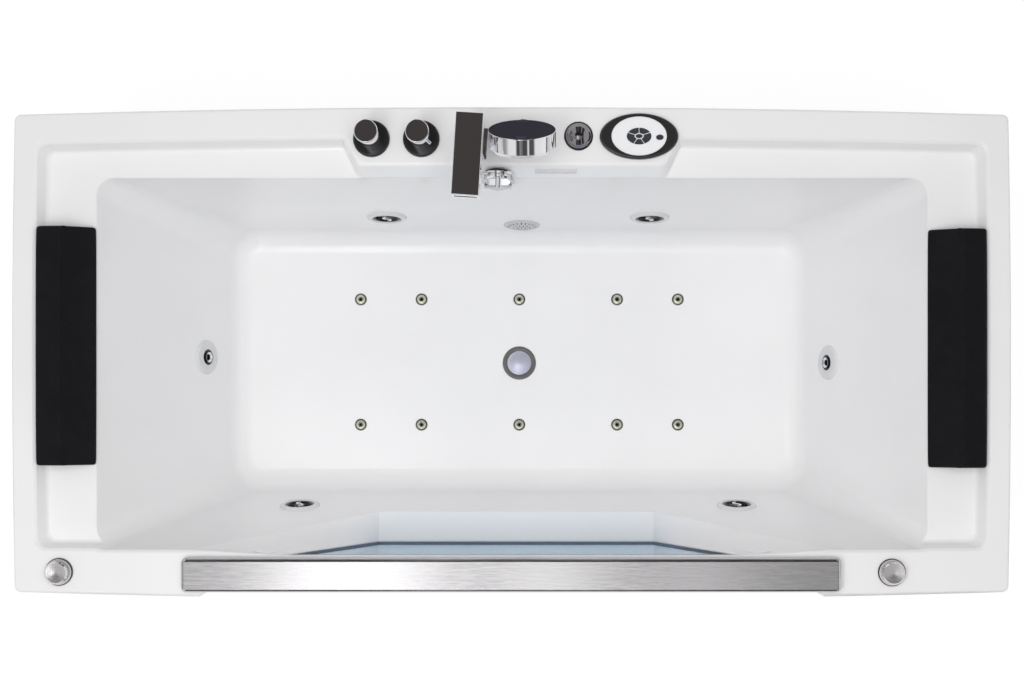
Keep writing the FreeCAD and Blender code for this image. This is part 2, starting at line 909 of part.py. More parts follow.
def ellipse_prism(half_x, half_y, z_low, height, centre_x=0.0, centre_y=0.0):
    curve = Part.Ellipse(vec(centre_x, centre_y, z_low), half_x, half_y)
    return Part.Face(Part.Wire(curve.toShape())).extrude(vec(0, 0, height))


# ---------------------------------------------------------------- pipes
def bent_path(points, bend_radius):
    """Straight runs joined by tangent arcs."""
    edges = []
    here = points[0]
    for before, corner, after in zip(points, points[1:], points[2:]):
        back = (before - corner).normalize()
        ahead = (after - corner).normalize()
        half_turn = (math.pi - back.getAngle(ahead)) / 2
        tangent = bend_radius * math.tan(half_turn)
        start = corner + back * tangent
        end = corner + ahead * tangent
        bisector = (back + ahead).normalize()
        middle = corner + bisector * (bend_radius / math.cos(half_turn) - bend_radius)
        edges.append(Part.makeLine(here, start))
        edges.append(Part.Arc(start, middle, end).toShape())
        here = end
    edges.append(Part.makeLine(here, points[-1]))
    return Part.Wire(edges)


def pipe_solid(points, radius, bend_radius):
    direction = (points[1] - points[0]).normalize()
    circle = Part.Wire(Part.Circle(points[0], direction, radius).toShape())
    if len(points) == 2:
        return rod(radius, (points[1] - points[0]).Length, points[0], direction)
    return bent_path(points, bend_radius).makePipeShell([circle], True, False)


def pipework(routes, outer_radius, bore_radius, bend_radius):
    """Pipes along several routes, joined where they meet, with one clear bore."""
    outside = fused(*[pipe_solid(route, outer_radius, bend_radius) for route in routes])
    for route in routes:
        outside = outside.cut(pipe_solid(route, bore_radius, bend_radius))
    return outside


# ---------------------------------------------------------------- tub shell with its holes
def jet_hole(place, radius):
    point, inward = place
    return rod(radius, 4 * wall, point - inward * 3 * wall, inward)


def deck_hole(x, y, radius):
    return rod(radius, 3 * wall, vec(x, y, rim_underside_z - wall))


def floor_hole(x, y, radius, depth=3.0):
    return rod(radius, depth * wall, vec(x, y, floor_underside_z - wall))


def pillow_peg_places():
    return [(sign * pillow_peg_x, pillow_middle_y + side * pillow_peg_y)
            for sign in (1, -1) for side in (1, -1)]


def shell_holes():
    holes = [jet_hole(place, jet_sleeve_radius + hole_clearance) for place in jet_places.values()]
    holes += [jet_hole(place, end_sleeve_radius + hole_clearance) for place in end_jet_places.values()]
    holes.append(jet_hole((suction_point, suction_inward), suction_hole_radius + hole_clearance))
    holes += [floor_hole(x, y, bubble_stem_radius + hole_clearance) for x, y in bubble_spots]
    holes.append(floor_hole(0.0, drain_y, drain_hole_radius))
    holes += [deck_hole(x, tap_y, tap_body_radius + hole_clearance) for x in tap_xs]
    holes.append(deck_hole(spout_base_x, spout_base_y, spout_shank_radius + hole_clearance))
    holes.append(deck_hole(handset_x, handset_stem_y, socket_tube_radius + hole_clearance))
    holes.append(deck_hole(dome_x, dome_y, dome_shank_radius + hole_clearance))
    holes.append(ellipse_prism(panel_housing_half_x + hole_clearance, panel_housing_half_y + hole_clearance,
                               rim_underside_z - wall, 3 * wall, panel_x, panel_y))
    holes += [deck_hole(x, y, air_body_radius + hole_clearance) for x, y in air_knob_spots.values()]
    holes += [rod(pillow_peg_radius + hole_clearance, 3 * wall, vec(x, y, ledge_z - 2 * wall))
              for x, y in pillow_peg_places()]
    holes.append(rod(overflow_shank_radius + hole_clearance, 80.0,
                     overflow_point - overflow_outward * 70.0, overflow_outward))
    return holes


shell = carved(shell_blank(), *shell_holes())
save("tub_shell", shell)


# ---------------------------------------------------------------- board, frame and feet
def floor_board():
    board = block((-board_half_x, board_half_x), (board_front_y, board_back_y),
                  (board_underside_z, floor_underside_z))
    holes = [floor_hole(x, y, bubble_stem_radius + hole_clearance, 5.0).translated(vec(0, 0, -2 * wall))
             for x, y in bubble_spots]
    holes.append(floor_hole(0.0, drain_y, drain_body_radius + 6.0, 5.0).translated(vec(0, 0, -2 * wall)))
    return carved(board, *holes)


foot_spots = [(sign_x * x, sign_y * y)
              for x, y in ((frame_half_x - tube / 2, foot_corner_y), (foot_mid_x, long_tube_y))
              for sign_x in (1, -1) for sign_y in (1, -1)]


def frame_members():
    """Every square tube as its three ranges."""
    low = (frame_bottom_z, frame_top_z)
    half = tube / 2
    members = []
    full_x = (-frame_half_x, frame_half_x)
    for sign in (1, -1):
        members.append((full_x, (sign * long_tube_y - half, sign * long_tube_y + half), low))
        end = sorted((sign * frame_half_x, sign * (frame_half_x - tube)))
        members.append((tuple(end), (-frame_half_y, frame_half_y), low))
        side = sorted((sign * frame_half_y, sign * (frame_half_y - tube)))
        members.append((full_x, tuple(side), low))
        for post in (1, -1):
            column = sorted((post * frame_half_x, post * (frame_half_x - tube)))
            members.append((tuple(column), tuple(side), (frame_bottom_z, rim_underside_z)))
        for x in cross_tube_xs:
            members.append(((sign * x - half, sign * x + half),
                            (-long_tube_y - half, long_tube_y + half), low))
    members.append((full_x, (frame_half_y - tube, frame_half_y), (back_rail_z, back_rail_z + tube)))
    return members


def shrunk(ranges, amount):
    return [(low + amount, high - amount) for low, high in ranges]


tray_y_range = (-long_tube_y - tube / 2, long_tube_y + tube / 2)
tray_x_range = (cross_tube_xs[1] - tube / 2, frame_half_x)


def base_frame():
    members = frame_members()
    frame = fused(*[block(*ranges) for ranges in members])
    for ranges in members:
        frame = frame.cut(block(*shrunk(ranges, tube_wall)))
    trays = []
    for sign in (1, -1):
        x_range = tuple(sorted((sign * tray_x_range[0], sign * tray_x_range[1])))
        trays.append(block(x_range, tray_y_range, (frame_bottom_z - tray_thickness, frame_bottom_z)))
    frame = fused(frame, *trays)
    holes = [rod(foot_stud_radius + hole_clearance, foot_stud_grip + tube_wall,
                 vec(x, y, frame_bottom_z - tube_wall)) for x, y in foot_spots]
    holes += [rod(screw_radius, screw_length, point - direction * screw_length, direction)
              for point, direction in screw_places()]
    holes.append(rod(air_pipe_radius + tray_hole_margin, 4 * tray_thickness,
                     vec(blower_x - blower_outlet_offset, drain_y, frame_bottom_z - 2 * tray_thickness)))
    return carved(frame, *holes)


def levelling_foot(x, y):
    pad = placed(turned((0, 0), (foot_pad_radius, 0), (foot_pad_radius, foot_pad_edge),
                        (foot_nut_half_flats, foot_pad_height), (0, foot_pad_height)), vec(x, y, 0))
    stud = rod(foot_stud_radius, frame_bottom_z + foot_stud_grip - 1.0 - foot_pad_height,
               vec(x, y, foot_pad_height))
    nut = hexagon_bar(foot_nut_half_flats, frame_bottom_z - foot_nut_height, foot_nut_height)
    nut.translate(vec(x, y, 0))
    return fused(pad, stud, nut)


# ---------------------------------------------------------------- skirting panels and their screws
apron_low_z = apron_floor_gap
apron_high_z = rim_height - wall - apron_top_gap
lower_rail_middle_z = (frame_bottom_z + frame_top_z) / 2


def screw_places():
    """Where each screw's head sits on the frame's face, and the way it points out."""
    places = []
    post_x = frame_half_x - tube / 2
    for sign in (1, -1):
        for z in post_screw_heights:
            places.append((vec(sign * post_x, -frame_half_y, z), vec(0, -1, 0)))
            for y in (frame_half_y - tube / 2, tube / 2 - frame_half_y):
                places.append((vec(sign * frame_half_x, y, z + screw_side_rise), vec(sign, 0, 0)))
        places.append((vec(sign * foot_mid_x, -frame_half_y, lower_rail_middle_z), vec(0, -1, 0)))
    return places


def apron_screw(point, direction):
    seat = point + direction * apron_thickness
    head = placed(turned((0, 0), (screw_head_radius, 0), dome(screw_head_radius, 0, screw_head_height)),
                  seat, direction)
    shank = rod(screw_radius, screw_length + apron_thickness - 1.0,
                point - direction * (screw_length - 1.0), direction)
    slot = placed(block((-screw_slot_half_length, screw_slot_half_length),
                        (-screw_slot_half_width, screw_slot_half_width),
                        (screw_head_height - 1.0, screw_head_height + 1.0)), seat, direction)
    return fused(head, shank).cut(slot)


def apron_holes():
    return [rod(screw_radius + hole_clearance / 2, 3 * apron_thickness, point - direction * apron_thickness,
                direction) for point, direction in screw_places()]


apron_front_y = -frame_half_y - apron_thickness
apron_end_x = frame_half_x + apron_thickness
glass_inner_y = window_plane_y - seal_thickness
glass_outer_y = glass_inner_y - glass_thickness


def front_apron():
    panel = block((-apron_end_x, apron_end_x), (apron_front_y, -frame_half_y), (apron_low_z, apron_high_z))
    depth = vec(0, glass_outer_y - apron_front_y, 0)
    outside = Part.Face(window_opening(apron_front_y, reveal_wall - 2.0, reveal_top_z + reveal_wall))
    inside = Part.Face(window_opening(apron_front_y - 1.0, -2.0, reveal_top_z))
    panel = panel.fuse(outside.extrude(depth))
    return carved(panel, inside.extrude(depth + vec(0, 2.0, 0)), *apron_holes())


def side_apron(sign):
    x_range = tuple(sorted((sign * frame_half_x, sign * apron_end_x)))
    panel = block(x_range, (-frame_half_y, frame_half_y), (apron_low_z, apron_high_z))
    return carved(panel, *apron_holes())


save("floor_board", floor_board())
save("base_frame", base_frame())
save("levelling_feet", Part.makeCompound([levelling_foot(x, y) for x, y in foot_spots]))
save("front_apron", front_apron())
save("left_apron", side_apron(-1))
save("right_apron", side_apron(1))
save("apron_screws", Part.makeCompound([apron_screw(*place) for place in screw_places()]))


# ---------------------------------------------------------------- window and handrail
def window_seal():
    top_z = rim_underside_z - glass_top_gap
    outside = Part.Face(window_opening(window_plane_y, glass_margin, top_z))
    inside = Part.Face(window_opening(window_plane_y + 1.0, -seal_lip, top_z - 5.0))
    return outside.extrude(vec(0, -seal_thickness, 0)).cut(inside.extrude(vec(0, -seal_thickness - 2.0, 0)))


def window_glass():
    face = Part.Face(window_opening(glass_inner_y, glass_margin, rim_underside_z - glass_top_gap))
    return face.extrude(vec(0, -glass_thickness, 0))


def handrail():
    """A shallow cap with rolled edges, open below, with four seats for its bonding blocks."""
    y_range = (rail_outer_y, rail_inner_y)
    cap = block((-rail_half_x, rail_half_x), y_range, (rim_height, rim_height + rail_height))
    uprights = [edge for edge in cap.Edges if abs(edge.Vertexes[0].Z - edge.Vertexes[1].Z) > 1]
    cap = cap.makeFillet(rail_corner_radius, uprights)
    cap = cap.makeFillet(rail_edge_radius, edges_at_height(cap, rim_height + rail_height))
    inner = block((rail_wall - rail_half_x, rail_half_x - rail_wall),
                  (rail_outer_y + rail_wall, rail_inner_y - rail_wall),
                  (rim_height, rim_height + rail_height - rail_wall))
    uprights = [edge for edge in inner.Edges if abs(edge.Vertexes[0].Z - edge.Vertexes[1].Z) > 1]
    inner = inner.makeFillet(rail_corner_radius - rail_wall, uprights)
    inner = inner.makeFillet(rail_edge_radius - rail_wall,
                             edges_at_height(inner, rim_height + rail_height - rail_wall))
    middle_y = (rail_outer_y + rail_inner_y) / 2
    blocks = [block((share * rail_half_x - rail_block_half_x, share * rail_half_x + rail_block_half_x),
                    (middle_y - rail_block_half_y, middle_y + rail_block_half_y),
                    (rim_height, rim_height + rail_height - rail_wall / 2)) for share in rail_block_shares]
    return fused(cap.cut(inner), *blocks)


save("window_seal", window_seal())
save("window_glass", window_glass())
save("handrail", handrail())


# ---------------------------------------------------------------- taps
def tap_valve(x):
    """Flange and spindle above the deck, threaded body, nut and supply tail below it."""
    above = turned((0, 0), (tap_flange_radius, 0), (tap_flange_radius, tap_flange_height - 2.5),
                   ((tap_flange_radius - 1.5, tap_flange_height - 0.6),
                    (tap_flange_radius - 5.0, tap_flange_height)),
                   (tap_spindle_radius, tap_flange_height),
                   (tap_spindle_radius, tap_top - tap_top_thickness), (0, tap_top - tap_top_thickness))
    body = rod(tap_body_radius, tap_body_length, vec(0, 0, -tap_body_length))
    tail = rod(tap_tail_radius, tap_tail_length, vec(0, 0, -tap_body_length - tap_tail_length))
    nut = deck_nut(tap_body_radius, nut_width)
    bore = rod(tap_tail_radius - tap_tail_wall, tap_body_length,
               vec(0, 0, -tap_body_length - tap_tail_length))
    return fused(above, body, tail, nut).cut(bore).translated(vec(x, tap_y, rim_height))


def tap_handle(x, with_pin):
    """Plain round handle over the spindle. The mixing tap's handle has a short pin."""
    foot = tap_flange_height + moving_clearance
    room = tap_spindle_radius + running_clearance
    room_top = tap_top - tap_top_thickness + moving_clearance
    handle = turned((room, foot), (tap_handle_radius - 1.0, foot), (tap_handle_radius, foot + 1.0),
                    (tap_handle_radius, tap_top - 2.0),
                    ((tap_handle_radius - 0.6, tap_top - 0.6), (tap_handle_radius - 2.0, tap_top)),
                    (0, tap_top), (0, room_top), (room, room_top))
    if with_pin:
        turn = math.radians(tap_pin_turn)
        direction = vec(math.cos(turn), math.sin(turn), 0)
        root = direction * (tap_handle_radius - tap_pin_root) + vec(0, 0, tap_top - tap_pin_drop)
        handle = fused(handle, rod(tap_pin_radius, tap_pin_reach + tap_pin_root, root, direction))
    return handle.translated(vec(x, tap_y, rim_height))


save("tap_valves", Part.makeCompound([tap_valve(x) for x in tap_xs]))
save("tap_handle_left", tap_handle(tap_xs[0], False))
save("tap_handle_right", tap_handle(tap_xs[1], True))


# ---------------------------------------------------------------- spout
def spout():
    """Upright column carrying a flat head with a wide, low mouth."""
    half_length = spout_length / 2
    head_low = spout_top - spout_head_height
    head = block((-spout_width / 2, spout_width / 2), (-half_length, half_length), (head_low, spout_top))
    head = head.makeFillet(spout_edge_radius, head.Edges)
    column_y = (half_length - spout_column_inset - spout_column_length, half_length - spout_column_inset)
    column = block((-spout_column_width / 2, spout_column_width / 2), column_y, (0.0, head_low + 2.0))
    foot = block((-spout_width / 2, spout_width / 2),
                 (column_y[0] - spout_column_inset, column_y[1] + spout_column_inset),
                 (0.0, spout_foot_height))
    axis_point = vec(0, spout_column_back, 0)
    shank = rod(spout_shank_radius, spout_shank_length, axis_point - UP * spout_shank_length)
    nut = deck_nut(spout_shank_radius, nut_width).translated(axis_point)
    channel = block((-spout_width / 2 + spout_side_wall, spout_width / 2 - spout_side_wall),
                    (-half_length - 1.0, half_length - spout_back_wall),
                    (head_low + spout_floor_wall, spout_top - spout_roof_wall))
    riser = rod(spout_riser_radius, spout_shank_length + spout_top - spout_roof_wall - 1.0,
                axis_point - UP * spout_shank_length)
    body = carved(fused(head, column, foot, shank, nut), channel, riser)
    return placed(body, vec(spout_x, spout_y, rim_height), UP, spout_turn)


save("spout", spout())


# ---------------------------------------------------------------- hand shower and its socket
def handset():
    """Round head leaning forwards on a short straight stem."""
    tilt = math.radians(handset_tilt)
    spray = vec(0, -math.cos(tilt), -math.sin(tilt))
    face_centre = vec(handset_x, handset_face_y, rim_height + handset_face_rise)
    bevel = handset_rim_step - 1.0
    plate = handset_thickness + handset_rim_step - 3.0
    head = turned((0, 0), (handset_radius - 2.0, 0),
                  ((handset_radius - 0.6, 0.6), (handset_radius, 2.0)),
                  (handset_radius, handset_thickness),
                  (handset_radius - bevel, handset_thickness + handset_rim_step),
                  (handset_radius - bevel - 4.0, handset_thickness + handset_rim_step),
                  (handset_radius - 2 * bevel, plate), (0, plate))
    head = placed(head, face_centre, spray)
    boss = placed(turned((0, -3.0), (handset_boss_radius - 3.0, -3.0),
                         (handset_boss_radius, 1.0), (0, 1.0)),
                  face_centre + vec(0, -math.sin(tilt), math.cos(tilt)) * handset_boss_reach, spray)
    stem_top = rim_height + handset_face_rise - handset_radius + handset_stem_into_head
    stem_low = rim_height - socket_depth + handset_stem_tip_gap
    stem = rod(handset_stem_radius, stem_top - stem_low, vec(handset_x, handset_stem_y, stem_low))
    collar = placed(turned((0, 0), (socket_radius - 2.0, 0), (socket_radius - 2.0, 4.0),
                           (handset_stem_radius, handset_collar_height), (0, handset_collar_height)),
                    vec(handset_x, handset_stem_y, rim_height + socket_height + moving_clearance))
    whole = fused(head, boss, stem, collar)
    bore = rod(handset_stem_bore, socket_depth + socket_height,
               vec(handset_x, handset_stem_y, stem_low - 1.0))
    return whole.cut(bore)


def shower_socket():
    inner = handset_stem_radius + moving_clearance
    flange_radius = socket_radius + socket_flange_width
    body = turned((inner, -socket_depth), (socket_tube_radius, -socket_depth), (socket_tube_radius, 0),
                  (flange_radius, 0), (flange_radius, 3.0), (socket_radius, 5.0),
                  (socket_radius - 1.0, socket_height), (inner, socket_height))
    nut = deck_nut(socket_tube_radius, nut_width)
    nut = nut.cut(rod(socket_tube_radius, socket_depth, vec(0, 0, -socket_depth)))
    return fused(body, nut).translated(vec(handset_x, handset_stem_y, rim_height))


save("handset", handset())
save("shower_socket", shower_socket())


# ---------------------------------------------------------------- domed air switch
def dome_bezel():
    room = dome_radius + moving_clearance
    body = turned((room, 0), (dome_bezel_radius - 1.5, 0), (dome_bezel_radius, 0),
                  (dome_bezel_radius, dome_bezel_height - 1.5),
                  (dome_bezel_radius - 1.5, dome_bezel_height), (room, dome_bezel_height))
    stem_room = dome_stem_radius + running_clearance
    base = turned((stem_room, 0), (dome_bezel_radius, 0), (dome_bezel_radius, dome_base_thickness),
                  (stem_room, dome_base_thickness))
    shank = turned((stem_room, -dome_shank_length), (dome_shank_radius, -dome_shank_length),
                   (dome_shank_radius, dome_base_thickness / 2), (stem_room, dome_base_thickness / 2))
    nut = deck_nut(dome_shank_radius, nut_width)
    nut = nut.cut(rod(dome_shank_radius, dome_shank_length, vec(0, 0, -dome_shank_length)))
    return fused(body, base, shank, nut).translated(vec(dome_x, dome_y, rim_height))


def dome_button():
    foot = dome_base_thickness + dome_travel + moving_clearance
    cap = turned((0, foot), (dome_radius, foot), (dome_radius, foot + 2.0),
                 dome(dome_radius, foot + 2.0, dome_height))
    stem = rod(dome_stem_radius, dome_stem_length + foot, vec(0, 0, -dome_stem_length))
    return fused(cap, stem).translated(vec(dome_x, dome_y, rim_height))


save("dome_bezel", dome_bezel())
save("dome_button", dome_button())


# ---------------------------------------------------------------- control panel and its keys
def panel_bezel():
    """Black oval surround, with the sealed housing of the electronics under the deck."""
    outside = ellipse_prism(panel_half_x, panel_half_y, rim_height, panel_height, panel_x, panel_y)
    outside = outside.makeFillet(panel_edge_radius, edges_at_height(outside, rim_height + panel_height))
    housing = ellipse_prism(panel_housing_half_x, panel_housing_half_y, rim_height - panel_housing_depth,
                            panel_housing_depth + 1.0, panel_x, panel_y)
    window = ellipse_prism(panel_face_half_x, panel_face_half_y, face_low_z, 3 * panel_height,
                           panel_x, panel_y)
    hollow_low = rim_height - panel_housing_depth + panel_housing_wall
    hollow = ellipse_prism(panel_face_half_x - panel_face_seat, panel_face_half_y - panel_face_seat,
                           hollow_low, face_low_z - hollow_low + 0.5, panel_x, panel_y)
    return carved(fused(outside, housing), window, hollow)


def key_ring_sector(index, grow):
    """One of the five keys round the centre. Gaps lie at the top and every fifth of a turn."""
    outer = ellipse_prism(key_ring_half_x + grow, key_ring_half_y + grow, key_low_z, key_depth)
    inner = ellipse_prism(key_hub_half_x - grow, key_hub_half_y - grow, key_low_z - 1.0, key_depth + 2.0)
    annulus = outer.cut(inner)
    start = math.radians(90 + 360 * index / ring_key_count)
    end = start + math.radians(360 / ring_key_count)
    reach = 3 * key_ring_half_x
    shift = key_gap / 2 - grow
    middle = (start + end) / 2
    corner = vec(math.cos(middle), math.sin(middle), 0) * (shift / math.sin((end - start) / 2))
    wedge = prism([(corner.x, corner.y),
                   (corner.x + reach * math.cos(start), corner.y + reach * math.sin(start)),
                   (corner.x + reach * math.cos(end), corner.y + reach * math.sin(end))],
                  key_low_z - 1.0, key_low_z + key_depth + 1.0)
    return annulus.common(wedge).translated(vec(panel_x, panel_y, 0))


def key_oval(half_x, half_y, offset, grow):
    return ellipse_prism(half_x + grow, half_y + grow, key_low_z, key_depth,
                         panel_x + offset[0], panel_y + offset[1])


def panel_keys(grow):
    keys = {"ring_key_" + str(index + 1): key_ring_sector(index, grow) for index in range(ring_key_count)}
    keys["centre_key"] = key_oval(centre_key_half_x, centre_key_half_y, (0.0, 0.0), grow)
    keys["round_key"] = key_oval(round_key_half_x, round_key_half_y, round_key_offset, grow)
    return keys


def panel_face():
    face = ellipse_prism(panel_face_half_x, panel_face_half_y, face_low_z, panel_face_thickness,
                         panel_x, panel_y)
    pockets = [key.translated(vec(0, 0, lift)) for key in panel_keys(moving_clearance / 2).values()
               for lift in (-key_rise, 0.0)]
    slit = block((panel_x - slit_length / 2, panel_x + slit_length / 2),
                 (panel_y + slit_offset_y - slit_width / 2, panel_y + slit_offset_y + slit_width / 2),
                 (face_top_z - slit_depth, face_top_z + 1.0))
    return carved(face, slit, *pockets)


save("panel_bezel", panel_bezel())
save("panel_face", panel_face())
for key_name, key in panel_keys(0.0).items():
    save(key_name, key)


# ---------------------------------------------------------------- air control knobs
def air_knob_base(x, y):
    body = turned((0, -air_body_length), (air_body_radius, -air_body_length), (air_body_radius, 0),
                  (air_base_radius, 0), (air_base_radius, air_base_height - 2.0),
                  (air_base_radius - 2.0, air_base_height), (air_spindle_radius, air_base_height),
                  (air_spindle_radius, air_cap_top - air_cap_thickness),
                  (0, air_cap_top - air_cap_thickness))
    return fused(body, deck_nut(air_body_radius, air_nut_width)).translated(vec(x, y, rim_height))


def air_knob_cap(x, y):
    foot = air_base_height + moving_clearance
    room = air_spindle_radius + running_clearance
    room_top = air_cap_top - air_cap_thickness + moving_clearance
    cap = turned((room, foot), (air_cap_radius, foot), (air_cap_radius, air_cap_top - air_cap_bevel),
                 (air_cap_radius - air_cap_bevel, air_cap_top), (0, air_cap_top - 1.0),
                 (0, room_top), (room, room_top))
    for index in range(air_cap_flutes):
        angle = 2 * math.pi * index / air_cap_flutes
        flute = rod(air_flute_radius, air_cap_top,
                    vec(math.cos(angle), math.sin(angle), 0) * (air_cap_radius + air_flute_radius / 3))
        cap = cap.cut(flute)
    return cap.translated(vec(x, y, rim_height))


save("air_knob_bases", Part.makeCompound([air_knob_base(*spot) for spot in air_knob_spots.values()]))
for side, spot in air_knob_spots.items():
    save("air_knob_" + side, air_knob_cap(*spot))


# ---------------------------------------------------------------- wall jets
sleeve_bore = jet_sleeve_radius - jet_sleeve_wall
cup_start = -wall - jet_nut_height


def large_flange():
    return turned((sleeve_bore, -jet_sleeve_length), (jet_sleeve_radius, -jet_sleeve_length),
                  (jet_sleeve_radius, 0), (jet_flange_radius, 0),
                  ((jet_flange_radius - 1.5, 3.0), (jet_flange_radius - 6.0, jet_flange_height)),
                  (sleeve_bore + 1.0, jet_flange_height), (sleeve_bore, jet_flange_height - 1.5))


def small_flange():
    """Flange with the round seat of the aiming nozzle."""
    seat = nozzle_ball_radius + moving_clearance
    body = turned((0, -jet_sleeve_length), (end_sleeve_radius, -jet_sleeve_length), (end_sleeve_radius, 0),
                  (end_flange_radius, 0), ((end_flange_radius - 1.5, 3.0),
                                           (end_flange_radius - 6.0, jet_flange_height)),
                  (0, jet_flange_height))
    ball_room = Part.makeSphere(seat, vec(0, 0, -nozzle_ball_drop))
    throat = rod(seat, jet_sleeve_length, vec(0, 0, -jet_sleeve_length - nozzle_ball_drop))
    return carved(body, ball_room, throat)


def jet_housing(sleeve_radius, with_hub):
    """Nut ring and closed cup behind the wall, with a hub for the turning eye."""
    body = turned((0, -jet_cup_depth), (jet_cup_radius, -jet_cup_depth), (jet_cup_radius, cup_start),
                  (jet_nut_radius, cup_start), (jet_nut_radius, -wall), (0, -wall))
    inside = rod(sleeve_radius, jet_cup_depth - jet_cup_wall - wall + 1.0,
                 vec(0, 0, jet_cup_wall - jet_cup_depth))
    body = body.cut(inside)
    if with_hub:
        hub_low = jet_cup_wall - jet_cup_depth
        hub = rod(jet_hub_radius, jet_hub_height, vec(0, 0, hub_low - 1.0))
        hub_bore = rod(jet_pin_radius + running_clearance, jet_hub_height - 1.0, vec(0, 0, hub_low + 1.0))
        body = fused(body, hub).cut(hub_bore)
    return body


def swirl_eye():
    """Turning eye with two slanted nozzles and an S-shaped bridge, on a pin that runs in the
    housing's hub."""
    radius = sleeve_bore - moving_clearance
    low = -swirl_eye_thickness
    pin_end = jet_cup_wall - jet_cup_depth + 3.0
    eye = turned((0, pin_end), (jet_pin_radius, pin_end), (jet_pin_radius, low), (radius, low),
                 (radius, 1.5), (radius - 4.0, 3.5), (radius - 8.0, 0.0), (0, 0.0))
    bridge = []
    for sign in (1, -1):
        slant = vec(0, sign * swirl_nozzle_lean, 1).normalize()
        mouth = vec(sign * swirl_nozzle_offset, 0, 0)
        nozzle = rod(swirl_nozzle_radius, 40.0, mouth - slant * 20.0, slant)
        scoop = rod(swirl_scoop_radius, 20.0, mouth + vec(0, sign * 2.0, -2.0), slant)
        eye = carved(eye, nozzle, scoop)
        hoop = ring(swirl_bridge_radius + swirl_bridge_width / 2,
                    swirl_bridge_radius - swirl_bridge_width / 2,
                    swirl_bridge_top + 3.0, vec(0, sign * swirl_bridge_radius, -3.0))
        bridge.append(hoop.cut(block(sorted((0.0, sign * radius)), (-radius, radius), (-radius, radius))))
    return fused(eye, *bridge)


def aiming_nozzle():
    ball = Part.makeSphere(nozzle_ball_radius, vec(0, 0, -nozzle_ball_drop))
    span = (-nozzle_ball_radius, nozzle_ball_radius)
    ball = ball.common(block(span, span, (-nozzle_ball_drop - nozzle_ball_low_cut, jet_flange_height)))
    tip = rod(nozzle_tip_radius, nozzle_tip_rise + nozzle_ball_drop, vec(0, 0, -nozzle_ball_drop))
    bore = rod(nozzle_bore_radius, 2 * nozzle_ball_radius + nozzle_tip_rise,
               vec(0, 0, -nozzle_ball_drop - nozzle_ball_radius))
    mouth = turned((0, nozzle_tip_rise - 3.0), (nozzle_bore_radius, nozzle_tip_rise - 3.0),
                   (nozzle_tip_radius - 2.0, nozzle_tip_rise + 0.1), (0, nozzle_tip_rise + 0.1))
    return carved(fused(ball, tip), bore, mouth)


flanges = [placed(large_flange(), *place) for place in jet_places.values()]
flanges += [placed(small_flange(), *place) for place in end_jet_places.values()]
save("jet_flanges", Part.makeCompound(flanges))
housings = [placed(jet_housing(jet_sleeve_radius, True), *place) for place in jet_places.values()]
housings += [placed(jet_housing(end_sleeve_radius, False), *place) for place in end_jet_places.values()]
save("jet_housings", Part.makeCompound(housings))
for name, place in jet_places.items():
    save("swirl_eye_" + name, placed(swirl_eye(), *place))
for name, place in end_jet_places.items():
    save("aiming_nozzle_" + name, placed(aiming_nozzle(), *place))


def jet_envelope(place):
    point, inward = place
    return rod(jet_cup_radius, jet_cup_depth - wall, point - inward * jet_cup_depth, inward)


def jet_tee(place):
    point, inward = place
    return point - inward * jet_tee_depth


# ---------------------------------------------------------------- floor fittings
def bubble_jet(x, y):
    """Domed head with a hexagon socket, hollow stem and the nut under the board."""
    end_z = board_underside_z - bubble_stem_end
    head = turned((0, 0), (bubble_flange_radius, 0), (bubble_flange_radius, 1.0),
                  dome(bubble_flange_radius, 1.0, bubble_flange_height - 1.0))
    stem = rod(bubble_stem_radius, floor_z - end_z, vec(0, 0, end_z - floor_z))
    nut = hexagon_bar(bubble_nut_radius, board_underside_z - bubble_nut_height - floor_z, bubble_nut_height)
    socket = hexagon_bar(bubble_socket_half_flats, bubble_socket_low, 2 * bubble_flange_height)
    bore = rod(bubble_bore_radius, floor_z - end_z + 2 * bubble_flange_height,
               vec(0, 0, end_z - floor_z - 1.0))
    return carved(fused(head, stem, nut), socket, bore).translated(vec(x, y, floor_z))


def air_manifold():
    """Ring of air pipe under the board with a riser to each bubble jet, and the raised loop
    of its feed from the blower, which keeps water out of the blower."""
    rows = sorted({y for _, y in bubble_spots})
    far_x = bubble_jet_xs[-1] + 2 * air_pipe_radius
    feed_x = blower_x - blower_outlet_offset
    cross_x = manifold_end_x + air_pipe_radius
    cap = air_pipe_radius - air_pipe_bore
    routes = [[vec(far_x, y, manifold_z), vec(manifold_end_x, y, manifold_z)] for y in rows]
    routes.append([vec(cross_x, rows[0] - air_pipe_radius, manifold_z),
                   vec(cross_x, rows[1] + air_pipe_radius, manifold_z)])
    routes.append([vec(cross_x, drain_y, manifold_z), vec(feed_x, drain_y, manifold_z),
                   vec(feed_x, drain_y, air_loop_z), vec(feed_x, blower_y, air_loop_z),
                   vec(feed_x, blower_y, blower_top_z)])
    pipe = pipework(routes, air_pipe_radius, air_pipe_bore, air_bend_radius)
    riser_top = board_underside_z - bubble_stem_end
    risers = [rod(bubble_stem_radius + riser_wall, riser_top - manifold_z, vec(x, y, manifold_z))
              for x, y in bubble_spots]
    pipe = fused(pipe, *risers)
    bores = [rod(bubble_stem_radius - riser_bore_wall, riser_top - manifold_z + 1.0, vec(x, y, manifold_z))
             for x, y in bubble_spots]
    bores += [rod(air_pipe_bore, far_x - manifold_end_x - 2 * cap, vec(manifold_end_x + cap, y, manifold_z),
                  vec(1, 0, 0)) for y in rows]
    return carved(pipe, *bores)


